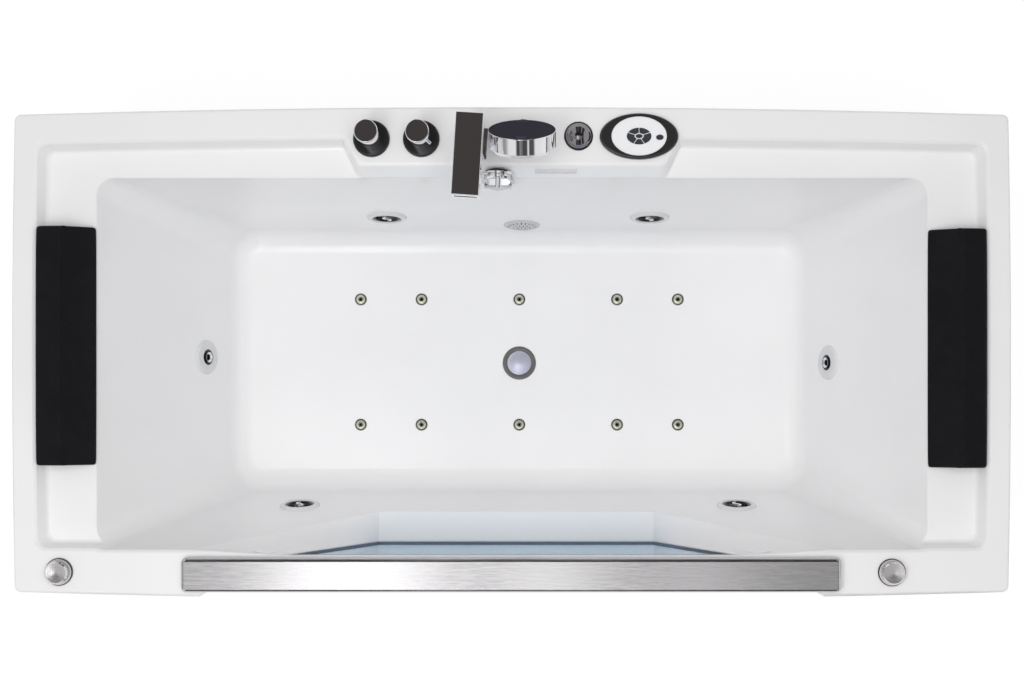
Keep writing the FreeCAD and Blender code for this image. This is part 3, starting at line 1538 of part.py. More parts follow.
def drain_flange():
    """Flange in the basin floor with its threaded neck and the cross bar that guides the plug."""
    neck = floor_z - drain_neck_z
    bore_radius = drain_body_radius - drain_neck_wall
    body = turned((bore_radius, -neck), (drain_body_radius, -neck), (drain_body_radius, 0),
                  (drain_flange_radius, 0), (drain_flange_radius, 0.8),
                  ((drain_flange_radius - 2.0, 2.0), (drain_flange_radius - 6.0, 2.4)),
                  (plug_radius + 1.6, 2.0), (bore_radius, 0.0))
    bar_z = (drain_guide_low + 2.0, drain_guide_low + drain_guide_length - 2.0)
    bar = block((-drain_body_radius + 1.0, drain_body_radius - 1.0),
                (-drain_bar_half_width, drain_bar_half_width), bar_z)
    guide = rod(drain_guide_radius, drain_guide_length, vec(0, 0, drain_guide_low))
    guide_bore = rod(plug_stem_radius + running_clearance, 2 * drain_guide_length,
                     vec(0, 0, drain_guide_low - drain_guide_length / 2))
    return fused(body, bar, guide).cut(guide_bore).translated(vec(0, drain_y, floor_z))


def drain_plug():
    """Domed plug and its stem, resting just clear of the flange."""
    edge_top = plug_gap + plug_edge
    cap = turned((0, plug_gap), (plug_radius, plug_gap), (plug_radius, edge_top),
                 dome(plug_radius, edge_top, plug_dome))
    stem = rod(plug_stem_radius, edge_top - plug_stem_low, vec(0, 0, plug_stem_low))
    return fused(cap, stem).translated(vec(0, drain_y, floor_z))


def waste_trap():
    """Bottle trap under the drain. Its outlet runs to the back and ends in a spigot."""
    middle = vec(0, drain_y, 0)
    collar_top = drain_neck_z + trap_collar_height
    cup = turned((0, trap_low_z), (trap_radius - trap_wall, trap_low_z),
                 (trap_radius, trap_low_z + trap_wall), (trap_radius, drain_neck_z - 8.0),
                 (drain_body_radius + trap_collar_width, drain_neck_z),
                 (drain_body_radius + trap_collar_width, collar_top), (0, collar_top))
    outlet_start = vec(0, drain_y, waste_out_z)
    spigot = pipe_solid([outlet_start, vec(0, waste_out_y, waste_out_z)], waste_pipe_radius, 0)
    sleeve = pipe_solid([outlet_start, vec(0, waste_out_y - waste_spigot_length, waste_out_z)],
                        waste_pipe_radius + waste_shoulder, 0)
    inlet_start = vec(trap_inlet_x, drain_y, overflow_run_z)
    inlet = pipe_solid([inlet_start, vec(0, drain_y, overflow_run_z)], thin_waste_radius + trap_wall, 0)
    cup_room = turned((0, trap_low_z + trap_wall), (trap_radius - trap_wall, trap_low_z + trap_wall),
                      (trap_radius - trap_wall, drain_neck_z - 9.0),
                      (drain_body_radius, drain_neck_z - 2.0),
                      (drain_body_radius, collar_top + 1.0), (0, collar_top + 1.0))
    outlet_room = pipe_solid([outlet_start, vec(0, waste_out_y + 1.0, waste_out_z)], waste_pipe_bore, 0)
    inlet_room = pipe_solid([inlet_start - vec(1, 0, 0), vec(0, drain_y, overflow_run_z)],
                            thin_waste_radius - thin_waste_wall, 0)
    return carved(fused(cup.translated(middle), spigot, sleeve, inlet), cup_room.translated(middle),
                  outlet_room, inlet_room)


save("bubble_jets", Part.makeCompound([bubble_jet(*spot) for spot in bubble_spots]))
save("air_manifold", air_manifold())
save("drain_flange", drain_flange())
save("drain_plug", drain_plug())
save("waste_trap", waste_trap())


# ---------------------------------------------------------------- suction strainer
def suction_cover():
    """Domed strainer with rings of slots, and the threaded neck behind the wall."""
    body = turned((0, 0), (suction_radius, 0), (suction_radius, suction_edge),
                  dome(suction_radius, suction_edge, suction_dome))
    neck = rod(suction_hole_radius, suction_neck_length, vec(0, 0, -suction_neck_length))
    room_radius = suction_hole_radius - suction_neck_wall
    room = turned((0, -suction_neck_length - 1.0), (room_radius, -suction_neck_length - 1.0),
                  (room_radius, 2.0), (0, 4.0))
    nut_radius = suction_hole_radius + suction_nut_width
    nut_low = -wall - suction_nut_height
    nut = turned((suction_hole_radius, nut_low), (nut_radius, nut_low),
                 (nut_radius, -wall), (suction_hole_radius, -wall))
    dish = ring(suction_dish_radius, suction_hole_radius, suction_dish_height + 1.0, vec(0, 0, -1.0))
    body = fused(body.cut(dish), neck).cut(room)
    for ring_radius, slots in suction_slot_rings:
        for index in range(slots):
            slot = block((ring_radius - suction_slot_half_length, ring_radius + suction_slot_half_length),
                         (-suction_slot_half_width, suction_slot_half_width), (-1.0, 2 * suction_dome))
            body = body.cut(placed(slot, vec(0, 0, 0), UP, 360.0 * index / slots))
    return placed(fused(body, nut), suction_point, suction_inward)


# ---------------------------------------------------------------- overflow and its knob
def overflow_cover():
    """Round bezel standing off the deck's sloping front, tilted up towards the bather."""
    knob_room = overflow_shaft_radius + running_clearance
    bezel = turned((knob_room, -overflow_bezel), (overflow_radius - 1.0, -overflow_bezel),
                   (overflow_radius, -overflow_bezel + 1.0), (overflow_radius, -1.5),
                   (overflow_radius - 1.5, 0), (knob_room, 0))
    shank = turned((knob_room, -overflow_shank_length), (overflow_shank_radius, -overflow_shank_length),
                   (overflow_shank_radius, -1.0), (knob_room, -1.0))
    low, high = overflow_collar_range
    collar = turned((overflow_shank_radius - 1.0, low),
                    (overflow_shank_radius + overflow_collar_width, low),
                    (overflow_radius - 3.0, high), (overflow_shank_radius - 1.0, high))
    return placed(fused(bezel, shank, collar), overflow_point, overflow_outward).cut(shell)


def overflow_knob():
    """Low round knob with two lobes and a bar to turn it by."""
    low = moving_clearance
    top = overflow_knob_thickness
    disc = turned((0, low), (overflow_knob_radius, low), (overflow_knob_radius, top - 2.0),
                  (overflow_knob_radius - 3.0, top), (0, top))
    bar = block((-overflow_knob_radius, overflow_knob_radius),
                (-overflow_bar_half_width, overflow_bar_half_width), (top - 1.0, overflow_bar_top))
    bar = bar.makeFillet(2.0, [edge for edge in bar.Edges if edge.CenterOfMass.z > top])
    notches = [rod(overflow_notch_radius, top + 2.0,
                   vec(0, sign * (overflow_knob_radius + overflow_notch_offset), low - 1.0))
               for sign in (1, -1)]
    post = turned((0, top - 1.0), (overflow_post_radius, top - 1.0),
                  (overflow_post_radius, overflow_post_top - 1.5),
                  (overflow_post_radius - 1.5, overflow_post_top), (0, overflow_post_top))
    shaft = rod(overflow_shaft_radius, overflow_shaft_length + 2.0, vec(0, 0, -overflow_shaft_length))
    return placed(fused(carved(disc, *notches), bar, post, shaft), overflow_point, overflow_outward)


def overflow_pipe():
    """Elbow behind the overflow and the pipe down to the trap."""
    back = overflow_point - overflow_outward * overflow_shank_length
    route = [back, back - overflow_outward * overflow_elbow_reach,
             vec(overflow_x, overflow_drop_y, overflow_turn_z),
             vec(overflow_run_x, overflow_drop_y, overflow_drop_z),
             vec(overflow_run_x, overflow_drop_y, overflow_run_z),
             vec(overflow_run_x, drain_y, overflow_run_z),
             vec(trap_inlet_x, drain_y, overflow_run_z)]
    return pipework([route], thin_waste_radius, thin_waste_radius - thin_waste_wall, air_bend_radius)


save("suction_cover", suction_cover())
save("overflow_cover", overflow_cover())
save("overflow_knob", overflow_knob())
save("overflow_pipe", overflow_pipe())


# ---------------------------------------------------------------- low-water probe bar
def probe_bar():
    """Slim half-round bar lying on the deck's sloping front, with a capped end."""
    low_x, high_x = probe_x_range
    bar = rod(probe_radius, high_x - low_x, vec(low_x, probe_y, probe_z), vec(1, 0, 0))
    cap = rod(probe_radius + probe_cap_step, probe_cap_length,
              vec(high_x - probe_cap_length, probe_y, probe_z), vec(1, 0, 0))
    return fused(bar, cap).cut(shell)


save("probe_bar", probe_bar())


# ---------------------------------------------------------------- pillows
def pillow_section(y, swell, inset):
    """Cross-section: flat seat, tall outer side, crowned top and a long slope to the basin."""
    def spot(x, height):
        return vec(x, y, pillow_seat_z + height * swell)
    outer_x = pillow_outer_x - inset
    inner_x = pillow_inner_x + inset
    seat_in = spot(inner_x + 3.0, 0)
    seat_out = spot(outer_x - 17.0, 0)
    side_top = spot(outer_x - 1.0, pillow_ridge_height - 8.5)
    crown_out = spot(outer_x - 6.0, pillow_ridge_height - 2.5)
    ridge = spot(pillow_ridge_x, pillow_ridge_height)
    slope_end = spot(inner_x + 5.0, 13.0)
    return Part.Wire([
        Part.makeLine(seat_in, seat_out),
        Part.Arc(seat_out, spot(outer_x - 5.0, 14.0), side_top).toShape(),
        Part.Arc(side_top, spot(outer_x - 2.0, pillow_ridge_height - 4.5), crown_out).toShape(),
        Part.Arc(crown_out, spot((pillow_ridge_x + outer_x) / 2 - 3.0, pillow_ridge_height + 0.8),
                 ridge).toShape(),
        Part.Arc(ridge, spot((pillow_ridge_x + inner_x) / 2 + 3.0, pillow_ridge_height * 0.74),
                 slope_end).toShape(),
        Part.Arc(slope_end, spot(inner_x, 6.5), seat_in).toShape(),
    ])


def pillow():
    """Right-hand pillow: full in the middle, drawn in at both ends, with two pegs below."""
    profile = [(1.0, 0.80, 5.0), (0.99, 0.89, 2.6), (0.965, 0.96, 1.0), (0.92, 0.99, 0.3),
               (0.5, 1.02, 0.0), (0.0, 1.03, 0.0)]
    stations = [(-share, swell, inset) for share, swell, inset in profile]
    stations += [(share, swell, inset) for share, swell, inset in reversed(profile[:-1])]
    wires = [pillow_section(pillow_middle_y + share * pillow_half_length, swell, inset)
             for share, swell, inset in stations]
    body = lofted(wires)
    pegs = [rod(pillow_peg_radius, pillow_peg_length + 6.0,
                vec(pillow_peg_x, pillow_middle_y + side * pillow_peg_y, pillow_seat_z - pillow_peg_length))
            for side in (1, -1)]
    return fused(body, *pegs)


save("pillow_right", pillow())
save("pillow_left", mirrored(pillow()))


# ---------------------------------------------------------------- water pump
def on_pump_axis(y):
    return vec(pump_x, y, pump_axis_z)


def pump_casing():
    outside = fused(rod(volute_radius, volute_length, on_pump_axis(motor_end_y), BACKWARD),
                    rod(water_pipe_radius + pump_neck_wall, pump_neck_reach + casing_wall,
                        on_pump_axis(volute_end_y - casing_wall), BACKWARD),
                    rod(water_pipe_radius + discharge_wall, pump_x - discharge_x,
                        vec(discharge_x, volute_middle_y, discharge_z), vec(1, 0, 0)))
    return carved(outside,
                  rod(volute_radius - casing_wall, volute_length - 2 * casing_wall,
                      on_pump_axis(motor_end_y + casing_wall), BACKWARD),
                  rod(water_pipe_bore, pump_neck_reach + 3 * casing_wall,
                      on_pump_axis(volute_end_y - 2 * casing_wall), BACKWARD),
                  rod(water_pipe_bore, pump_x - discharge_x + 1.0,
                      vec(discharge_x - 1.0, volute_middle_y, discharge_z), vec(1, 0, 0)),
                  rod(shaft_radius + running_clearance, 3 * casing_wall,
                      on_pump_axis(motor_end_y - casing_wall), BACKWARD))


def pump_motor():
    start_y = motor_end_y - motor_length
    barrel = rod(motor_radius, motor_length, on_pump_axis(start_y), BACKWARD)
    barrel = barrel.makeChamfer(casing_wall, [edge for edge in barrel.Edges
                                              if abs(edge.CenterOfMass.y - start_y) < 0.1])
    foot = block((pump_x - motor_foot_half_x, pump_x + motor_foot_half_x),
                 (start_y + motor_foot_margin, motor_end_y - motor_foot_margin),
                 (frame_bottom_z, pump_axis_z - motor_radius * motor_seat_share))
    terminals = block((pump_x - terminal_half_x, pump_x + terminal_half_x),
                      (start_y + terminal_y_range[0], start_y + terminal_y_range[1]),
                      (pump_axis_z + motor_radius * motor_seat_share,
                       pump_axis_z + motor_radius + terminal_rise))
    bore = rod(shaft_radius + running_clearance, motor_length,
               on_pump_axis(start_y + casing_wall), BACKWARD)
    return fused(barrel, foot, terminals).cut(bore)


def pump_rotor():
    shaft = rod(shaft_radius, motor_length + shaft_overrun,
                on_pump_axis(motor_end_y - motor_length + shaft_overrun / 2), BACKWARD)
    disc_y = motor_end_y + casing_wall + shaft_overrun / 2
    disc = rod(impeller_radius, impeller_plate, on_pump_axis(disc_y), BACKWARD)
    vanes = []
    for index in range(impeller_vanes):
        vane = block((shaft_radius - 1.0, impeller_radius), (-1.5, 1.5), (0.0, impeller_thickness))
        vanes.append(placed(vane, on_pump_axis(disc_y + impeller_plate - 1.0), BACKWARD,
                            index * 360.0 / impeller_vanes))
    return fused(shaft, disc, *vanes)


save("pump_casing", pump_casing())
save("pump_motor", pump_motor())
save("pump_rotor", pump_rotor())


# ---------------------------------------------------------------- water and air pipes
def pressure_pipe():
    """Ring of pipe round the basin through every wall jet, fed by the pump."""
    right = jet_tee(end_jet_places["right"])
    left = jet_tee(end_jet_places["left"])
    back = jet_tee(jet_places["back_right"])
    front = jet_tee(jet_places["front_right"])
    corner_x = right.x + ring_corner_overrun
    half_rings = [[right, vec(corner_x, run.y, run.z), vec(-corner_x, run.y, run.z), left]
                  for run in (back, front)]
    share = (volute_middle_y - right.y) / (back.y - right.y)
    joint = right + (vec(corner_x, back.y, back.z) - right) * share
    outlet = vec(discharge_x, volute_middle_y, discharge_z)
    feed = [outlet + (outlet - joint) * 0.5, joint]
    past_outlet = block((discharge_x, pump_x), (motor_end_y, volute_end_y), (pump_axis_z, sill_z))
    ring_pipe = pipework(half_rings + [feed], water_pipe_radius, water_pipe_bore, water_bend_radius)
    return carved(ring_pipe, past_outlet, *[jet_envelope(place) for place in all_jet_places])


def suction_pipe():
    neck_end = suction_point - suction_inward * suction_neck_length
    behind = neck_end - suction_inward * suction_neck_reach
    route = [neck_end, behind, vec(pump_x, behind.y, pump_axis_z), on_pump_axis(pump_inlet_y)]
    return pipework([route], water_pipe_radius, water_pipe_bore, water_bend_radius)


def air_control_pipe(spot, place):
    tee = jet_tee(place)
    route = [vec(spot[0], spot[1], rim_height - air_body_length),
             vec(spot[0], spot[1], air_control_turn_z), vec(tee.x, tee.y, air_control_turn_z), tee]
    return pipework([route], thin_pipe_radius, thin_pipe_bore, thin_bend_radius).cut(jet_envelope(place))


save("pressure_pipe", pressure_pipe())
save("suction_pipe", suction_pipe())
save("air_control_pipes", Part.makeCompound([
    air_control_pipe(air_knob_spots["left"], jet_places["front_left"]),
    air_control_pipe(air_knob_spots["right"], jet_places["front_right"])]))


# ---------------------------------------------------------------- air blower
def blower_housing():
    radius = blower_radius
    body = turned((0, 0), (radius, 0), (radius, blower_height - blower_shoulder),
                  (radius - blower_shoulder, blower_height), (0, blower_height))
    room = turned((blower_bearing_radius, blower_wall), (radius - blower_wall, blower_wall),
                  (radius - blower_wall, blower_height - blower_shoulder - blower_wall / 2),
                  (radius - blower_shoulder - blower_wall / 2, blower_height - blower_wall),
                  (0, blower_height - blower_wall), (0, blower_bearing_top),
                  (blower_bearing_radius, blower_bearing_top))
    outlet = rod(air_pipe_bore, 4 * blower_wall,
                 vec(-blower_outlet_offset, 0, blower_height - 2 * blower_wall))
    bearing = rod(blower_shaft_radius + running_clearance, blower_bearing_top, vec(0, 0, 10.0))
    turns = [2 * math.pi * index / blower_vents for index in range(blower_vents)]
    vents = [rod(blower_vent_radius, radius, vec(0, 0, blower_vent_z),
                 vec(math.cos(turn), math.sin(turn), 0)) for turn in turns]
    vents = [vent.cut(rod(radius - 2 * blower_wall, blower_height, vec(0, 0, 0))) for vent in vents]
    return carved(body, room, outlet, bearing, *vents).translated(vec(blower_x, blower_y, blower_low_z))


def blower_fan():
    low = blower_fan_low
    root = blower_hub_radius - 1.0
    hub = turned((0, blower_shaft_low), (blower_shaft_radius, blower_shaft_low), (blower_shaft_radius, low),
                 (blower_hub_radius, low), (blower_hub_radius, low + blower_fan_height),
                 (0, low + blower_fan_height))
    plate = ring(blower_fan_radius, root, 3.0, vec(0, 0, low))
    blades = [placed(block((root, blower_fan_radius), (-1.0, 1.0), (0.0, blower_fan_height)),
                     vec(0, 0, low), UP, index * 360.0 / blower_blades) for index in range(blower_blades)]
    return fused(hub, plate, *blades).translated(vec(blower_x, blower_y, blower_low_z))


save("blower_housing", blower_housing())
save("blower_fan", blower_fan())


# ---------------------------------------------------------------- control box
def control_box():
    """Splash-proof box on the back rail, with the gland of its supply cable below."""
    y_range = (frame_half_y - tube - control_box_depth, frame_half_y - tube)
    body = block(control_box_x_range, y_range, control_box_z_range)
    body = body.makeFillet(control_box_edge_radius, body.Edges)
    place = vec(sum(control_box_x_range) / 2, sum(y_range) / 2 + gland_set_back, control_box_z_range[0])
    gland = rod(gland_radius, gland_length + control_box_wall, place - vec(0, 0, gland_length))
    nut = hexagon_bar(gland_radius + 2.5, place.z - 6.0, 7.0).translated(vec(place.x, place.y, 0))
    room = block(*shrunk([control_box_x_range, y_range, control_box_z_range], control_box_wall))
    bore = rod(gland_bore_radius, gland_length + 10.0, place - vec(0, 0, gland_length + 1.0))
    return carved(fused(body, gland, nut), room, bore)


save("control_box", control_box())
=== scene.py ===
import math

import bmesh
import bpy
from mathutils import Matrix, Vector


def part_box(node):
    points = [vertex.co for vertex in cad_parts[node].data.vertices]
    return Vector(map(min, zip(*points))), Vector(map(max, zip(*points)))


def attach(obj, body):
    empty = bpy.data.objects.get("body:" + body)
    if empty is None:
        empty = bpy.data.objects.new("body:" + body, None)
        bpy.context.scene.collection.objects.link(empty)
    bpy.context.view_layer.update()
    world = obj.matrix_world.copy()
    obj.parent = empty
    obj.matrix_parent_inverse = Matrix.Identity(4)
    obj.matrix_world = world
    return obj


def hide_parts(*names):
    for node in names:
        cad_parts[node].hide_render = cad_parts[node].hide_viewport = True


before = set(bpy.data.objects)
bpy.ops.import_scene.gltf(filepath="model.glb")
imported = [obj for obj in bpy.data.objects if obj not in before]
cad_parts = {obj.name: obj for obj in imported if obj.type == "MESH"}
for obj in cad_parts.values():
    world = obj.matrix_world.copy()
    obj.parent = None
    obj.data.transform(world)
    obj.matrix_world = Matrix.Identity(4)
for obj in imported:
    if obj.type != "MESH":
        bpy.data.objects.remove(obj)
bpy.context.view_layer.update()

# Looks of a jetted bathtub with a front window, seen from straight above. Metres.
# ---------------------------------------------------------------- camera and picture
PICTURE_WIDTH = 1024
PICTURE_HEIGHT = 682
FOCAL_PIXELS = 1484.8            # how far the picture plane is, in pixels
AXIS_PIXEL = (566.0, 400.0)      # where the camera's axis meets the picture
CAMERA_PLACE = (0.0984, -0.087, 3.300)
SENSOR_WIDTH = 36.0

# ---------------------------------------------------------------- light
WORLD_DIFFUSE = 0.37
CEILING_DARK = (0.060, 0.053, 0.051)
ROOM_BRIGHT = 0.95
# What metal sees to the left (-1) and right (1) at eye height: dark room, bright screens.
ROOM_SCREENS = [(-0.80, 0.35), (-0.66, 0.9), (-0.34, 0.9), (-0.27, 0.08), (-0.12, 0.07), (-0.09, 0.5),
                (-0.05, 0.07), (0.02, 0.30), (0.05, 0.07), (0.30, 0.08), (0.33, 0.8), (0.39, 0.8),
                (0.42, 0.08), (0.62, 0.10), (0.70, 0.9)]
# Lamps that it sees overhead to the front: left edge, right edge and share of full strength.
FRONT_LAMPS = [(-0.26, -0.25, 0.40), (-0.18, -0.105, 1.0), (-0.03, 0.0, 0.75), (0.07, 0.10, 0.42)]
FRONT_DIM = 0.20
LAMP_SOFTNESS = 0.035
FRONT_STRENGTH = 2.6
# Where the room turns into what it shows: by height, and by how far to the back a mirror looks.
OVERHEAD_FROM = [(0.80, 0.0), (0.90, 1.0)]
LOW_DOWN_UNTIL = [(0.10, 1.0), (0.22, 0.0)]
FRONT_UNTIL = [(-0.05, 1.0), (0.01, 0.0)]
FLOOR_GLOW = 1.12                # how white the floor looks to the camera and to metal
FLOOR_GLOW_SHARE = 0.80          # the rest is matt, so that the floor keeps the shadow
FLOOR_REACH = 12.0
KEY_PLACE, KEY_AIM, KEY_SIZE, KEY_POWER = (-0.75, -0.95, 3.1), (-0.2, -0.2, 0.4), (0.75, 1.2), 12.0
PANEL_PLACE, PANEL_AIM, PANEL_SIZE, PANEL_POWER = (0.0, 0.0, 4.4), (0.0, 0.0, 0.0), (3.2, 2.4), 69.5

# ---------------------------------------------------------------- finishes
ACRYLIC_WHITE = (0.95, 0.945, 0.950)
PANEL_WHITE = (0.92, 0.92, 0.925)
FACE_WHITE = (0.96, 0.96, 0.98)
CHROME = (0.80, 0.80, 0.82)
STEEL = (0.60, 0.59, 0.60)
PILLOW_BLACK = (0.0040, 0.0036, 0.0052)
GLASS_BLUE = (0.46, 0.76, 1.0)
MOULDED_BLACK = (0.012, 0.012, 0.012)
WHITE_PLASTIC = (0.76, 0.76, 0.775)
STRAINER_SILVER = (0.62, 0.62, 0.65)

# ---------------------------------------------------------------- places on the part
FLOOR_HEIGHT = 0.170
FLOOR_HALF_X, FLOOR_BACK_Y, FLOOR_FRONT_Y = 0.589, 0.263, -0.270
END_LEAN, BACK_LEAN, FRONT_LEAN = 169 / 420, 55 / 420, 88 / 450
HANDSET_BACK = (0.022, 0.3825, 0.725)
HANDSET_TILT = math.radians(27)
SPRAY_DEPTH = 0.033              # from the back to the plate with the spray nubs
TAP_FLANGE_TOP = 0.632
KNOB_BASE_TOP = 0.6257
STRAINER_RADIUS, STRAINER_EDGE, STRAINER_DOME = 0.037, 0.0015, 0.0075
OVERFLOW_MIDDLE = (-0.025, 0.314, 0.595)
MOTOR_MIDDLE = (0.790, -0.062, 0.205)
WATER_HOSE, AIR_HOSE, THIN_HOSE = 0.014, 0.010, 0.006
KNOB_PLACES = {"left": (-0.816, -0.397), "right": (0.686, -0.398)}
# Which wall each fitting is in, how far along it and how high.
SWIRL_PLACES = {"swirl_eye_back_left": ("back", -0.262, 0.310),
                "swirl_eye_back_right": ("back", 0.267, 0.310),
                "swirl_eye_front_left": ("front", -0.436, 0.320),
                "swirl_eye_front_right": ("front", 0.441, 0.320)}
NOZZLE_PLACES = {"aiming_nozzle_left": ("left", 0.0, 0.280), "aiming_nozzle_right": ("right", -0.011, 0.278)}
SUCTION_PLACE = ("back", 0.0075, 0.247)


def wall_place(side, along, height):
    """A point on a basin wall and the way that wall faces."""
    rise = height - FLOOR_HEIGHT
    point, facing = {
        "back": ((along, FLOOR_BACK_Y + BACK_LEAN * rise, height), (0, -1, BACK_LEAN)),
        "front": ((along, FLOOR_FRONT_Y - FRONT_LEAN * rise, height), (0, 1, FRONT_LEAN)),
        "left": ((-FLOOR_HALF_X - END_LEAN * rise, along, height), (1, 0, END_LEAN)),
        "right": ((FLOOR_HALF_X + END_LEAN * rise, along, height), (-1, 0, END_LEAN)),
    }[side]
    return Vector(point), Vector(facing).normalized()


SPRAY_WAY = Vector((0, -math.cos(HANDSET_TILT), -math.sin(HANDSET_TILT)))
SPRAY_PLACE = Vector(HANDSET_BACK) + SPRAY_WAY * SPRAY_DEPTH
# Where each hose clamp sits, which way its hose runs and how thick the hose is.
CLAMP_PLACES = [((MOTOR_MIDDLE[0], 0.126, MOTOR_MIDDLE[2]), (0, 1, 0), WATER_HOSE),
                ((0.0075, 0.3127, 0.2418), (0, 0.9915, -0.130), WATER_HOSE),
                ((-0.790, -0.095, 0.230), (0, 0, 1), AIR_HOSE)]
CLAMP_PLACES += [((*place, 0.568), (0, 0, 1), THIN_HOSE) for place in KNOB_PLACES.values()]


# ================================================================ shader helpers
def add_node(tree, kind, **settings):
    """A node with its settings and input values. Names with a capital are inputs."""
    node = tree.nodes.new(kind)
    for name, value in settings.items():
        label = name.replace("_", " ")
        if name[0].isupper() and label in node.inputs:
            node.inputs[label].default_value = value
        else:
            setattr(node, name, value)
    return node


def link(tree, source, output, target, socket):
    tree.links.new(source.outputs[output], target.inputs[socket])


def new_group(name, inputs, outputs):
    """A shader group with named sockets. Each entry is (name, socket type, default)."""
    group = bpy.data.node_groups.new(name, "ShaderNodeTree")
    for label, kind, value in inputs:
        socket = group.interface.new_socket(label, in_out="INPUT", socket_type=kind)
        socket.default_value = value
    for label, kind in outputs:
        group.interface.new_socket(label, in_out="OUTPUT", socket_type=kind)
    entry = group.nodes.new("NodeGroupInput")
    leave = group.nodes.new("NodeGroupOutput")
    return group, entry, leave


FLOAT = "NodeSocketFloat"
COLOUR = "NodeSocketColor"
VECTOR = "NodeSocketVector"


def make_patchy_tone():
    """Colour that drifts a little lighter and darker over the surface."""
    tree, entry, leave = new_group("patchy_tone", [("Colour", COLOUR, (1, 1, 1, 1)),
                                                   ("Size", FLOAT, 6.0), ("Drift", FLOAT, 0.03)],
                                   [("Colour", COLOUR)])
    place = add_node(tree, "ShaderNodeTexCoord")
    clouds = add_node(tree, "ShaderNodeTexNoise", Detail=3.0, Roughness=0.55)
    spread = add_node(tree, "ShaderNodeMapRange")
    low = add_node(tree, "ShaderNodeMath", operation="SUBTRACT")
    low.inputs[0].default_value = 1.0
    high = add_node(tree, "ShaderNodeMath", operation="ADD")
    high.inputs[0].default_value = 1.0
    scale = add_node(tree, "ShaderNodeVectorMath", operation="SCALE")
    link(tree, place, "Object", clouds, "Vector")
    link(tree, entry, "Size", clouds, "Scale")
    link(tree, entry, "Drift", low, 1)
    link(tree, entry, "Drift", high, 1)
    link(tree, clouds, "Fac", spread, "Value")
    spread.inputs["From Min"].default_value = 0.3
    spread.inputs["From Max"].default_value = 0.7
    link(tree, low, "Value", spread, "To Min")
    link(tree, high, "Value", spread, "To Max")
    link(tree, entry, "Colour", scale, 0)
    link(tree, spread, "Result", scale, "Scale")
    link(tree, scale, "Vector", leave, "Colour")
    return tree


def make_handled_gloss():
    """Roughness between two values, in smears and finer marks."""
    tree, entry, leave = new_group("handled_gloss", [("Size", FLOAT, 9.0), ("Smooth", FLOAT, 0.08),
                                                     ("Rough", FLOAT, 0.16)], [("Roughness", FLOAT)])
    place = add_node(tree, "ShaderNodeTexCoord")
    smears = add_node(tree, "ShaderNodeTexNoise", Detail=5.0, Roughness=0.65, Distortion=0.6)
    spread = add_node(tree, "ShaderNodeMapRange")
    spread.inputs["From Min"].default_value = 0.35
    spread.inputs["From Max"].default_value = 0.7
    link(tree, place, "Object", smears, "Vector")
    link(tree, entry, "Size", smears, "Scale")
    link(tree, smears, "Fac", spread, "Value")
    link(tree, entry, "Smooth", spread, "To Min")
    link(tree, entry, "Rough", spread, "To Max")
    link(tree, spread, "Result", leave, "Roughness")
    return tree


def make_fine_grain():
    """Height of a moulded or sprayed surface: fine bumps on slower waves."""
    tree, entry, leave = new_group("fine_grain", [("Size", FLOAT, 300.0), ("Waves", FLOAT, 0.3)],
                                   [("Height", FLOAT)])
    place = add_node(tree, "ShaderNodeTexCoord")
    fine = add_node(tree, "ShaderNodeTexNoise", Detail=2.0, Roughness=0.5)
    slow = add_node(tree, "ShaderNodeTexNoise", Scale=14.0, Detail=1.0)
    sum_up = add_node(tree, "ShaderNodeMath", operation="MULTIPLY_ADD")
    link(tree, place, "Object", fine, "Vector")
    link(tree, entry, "Size", fine, "Scale")
    link(tree, place, "Object", slow, "Vector")
    link(tree, slow, "Fac", sum_up, 0)
    link(tree, entry, "Waves", sum_up, 1)
    link(tree, fine, "Fac", sum_up, 2)
    link(tree, sum_up, "Value", leave, "Height")
    return tree


def make_brushed_lines():
    """Long fine scratches along X, as height and as a change of tone."""
    tree, entry, leave = new_group("brushed_lines", [("Along", FLOAT, 3.0), ("Across", FLOAT, 900.0)],
                                   [("Height", FLOAT), ("Tone", FLOAT)])
    place = add_node(tree, "ShaderNodeTexCoord")
    split = add_node(tree, "ShaderNodeSeparateXYZ")
    along = add_node(tree, "ShaderNodeMath", operation="MULTIPLY")
    across = add_node(tree, "ShaderNodeMath", operation="MULTIPLY")
    depth = add_node(tree, "ShaderNodeMath", operation="MULTIPLY")
    merge = add_node(tree, "ShaderNodeCombineXYZ")
    lines = add_node(tree, "ShaderNodeTexNoise", Scale=1.0, Detail=3.0, Roughness=0.7)
    tone = add_node(tree, "ShaderNodeMapRange")
    tone.inputs["From Min"].default_value = 0.3
    tone.inputs["From Max"].default_value = 0.7
    link(tree, place, "Object", split, "Vector")
    for axis, scaler, factor in (("X", along, "Along"), ("Y", across, "Across"), ("Z", depth, "Across")):
        link(tree, split, axis, scaler, 0)
        link(tree, entry, factor, scaler, 1)
        link(tree, scaler, "Value", merge, axis)
    link(tree, merge, "Vector", lines, "Vector")
    link(tree, lines, "Fac", leave, "Height")
    link(tree, lines, "Fac", tone, "Value")
    link(tree, tone, "Result", leave, "Tone")
    return tree


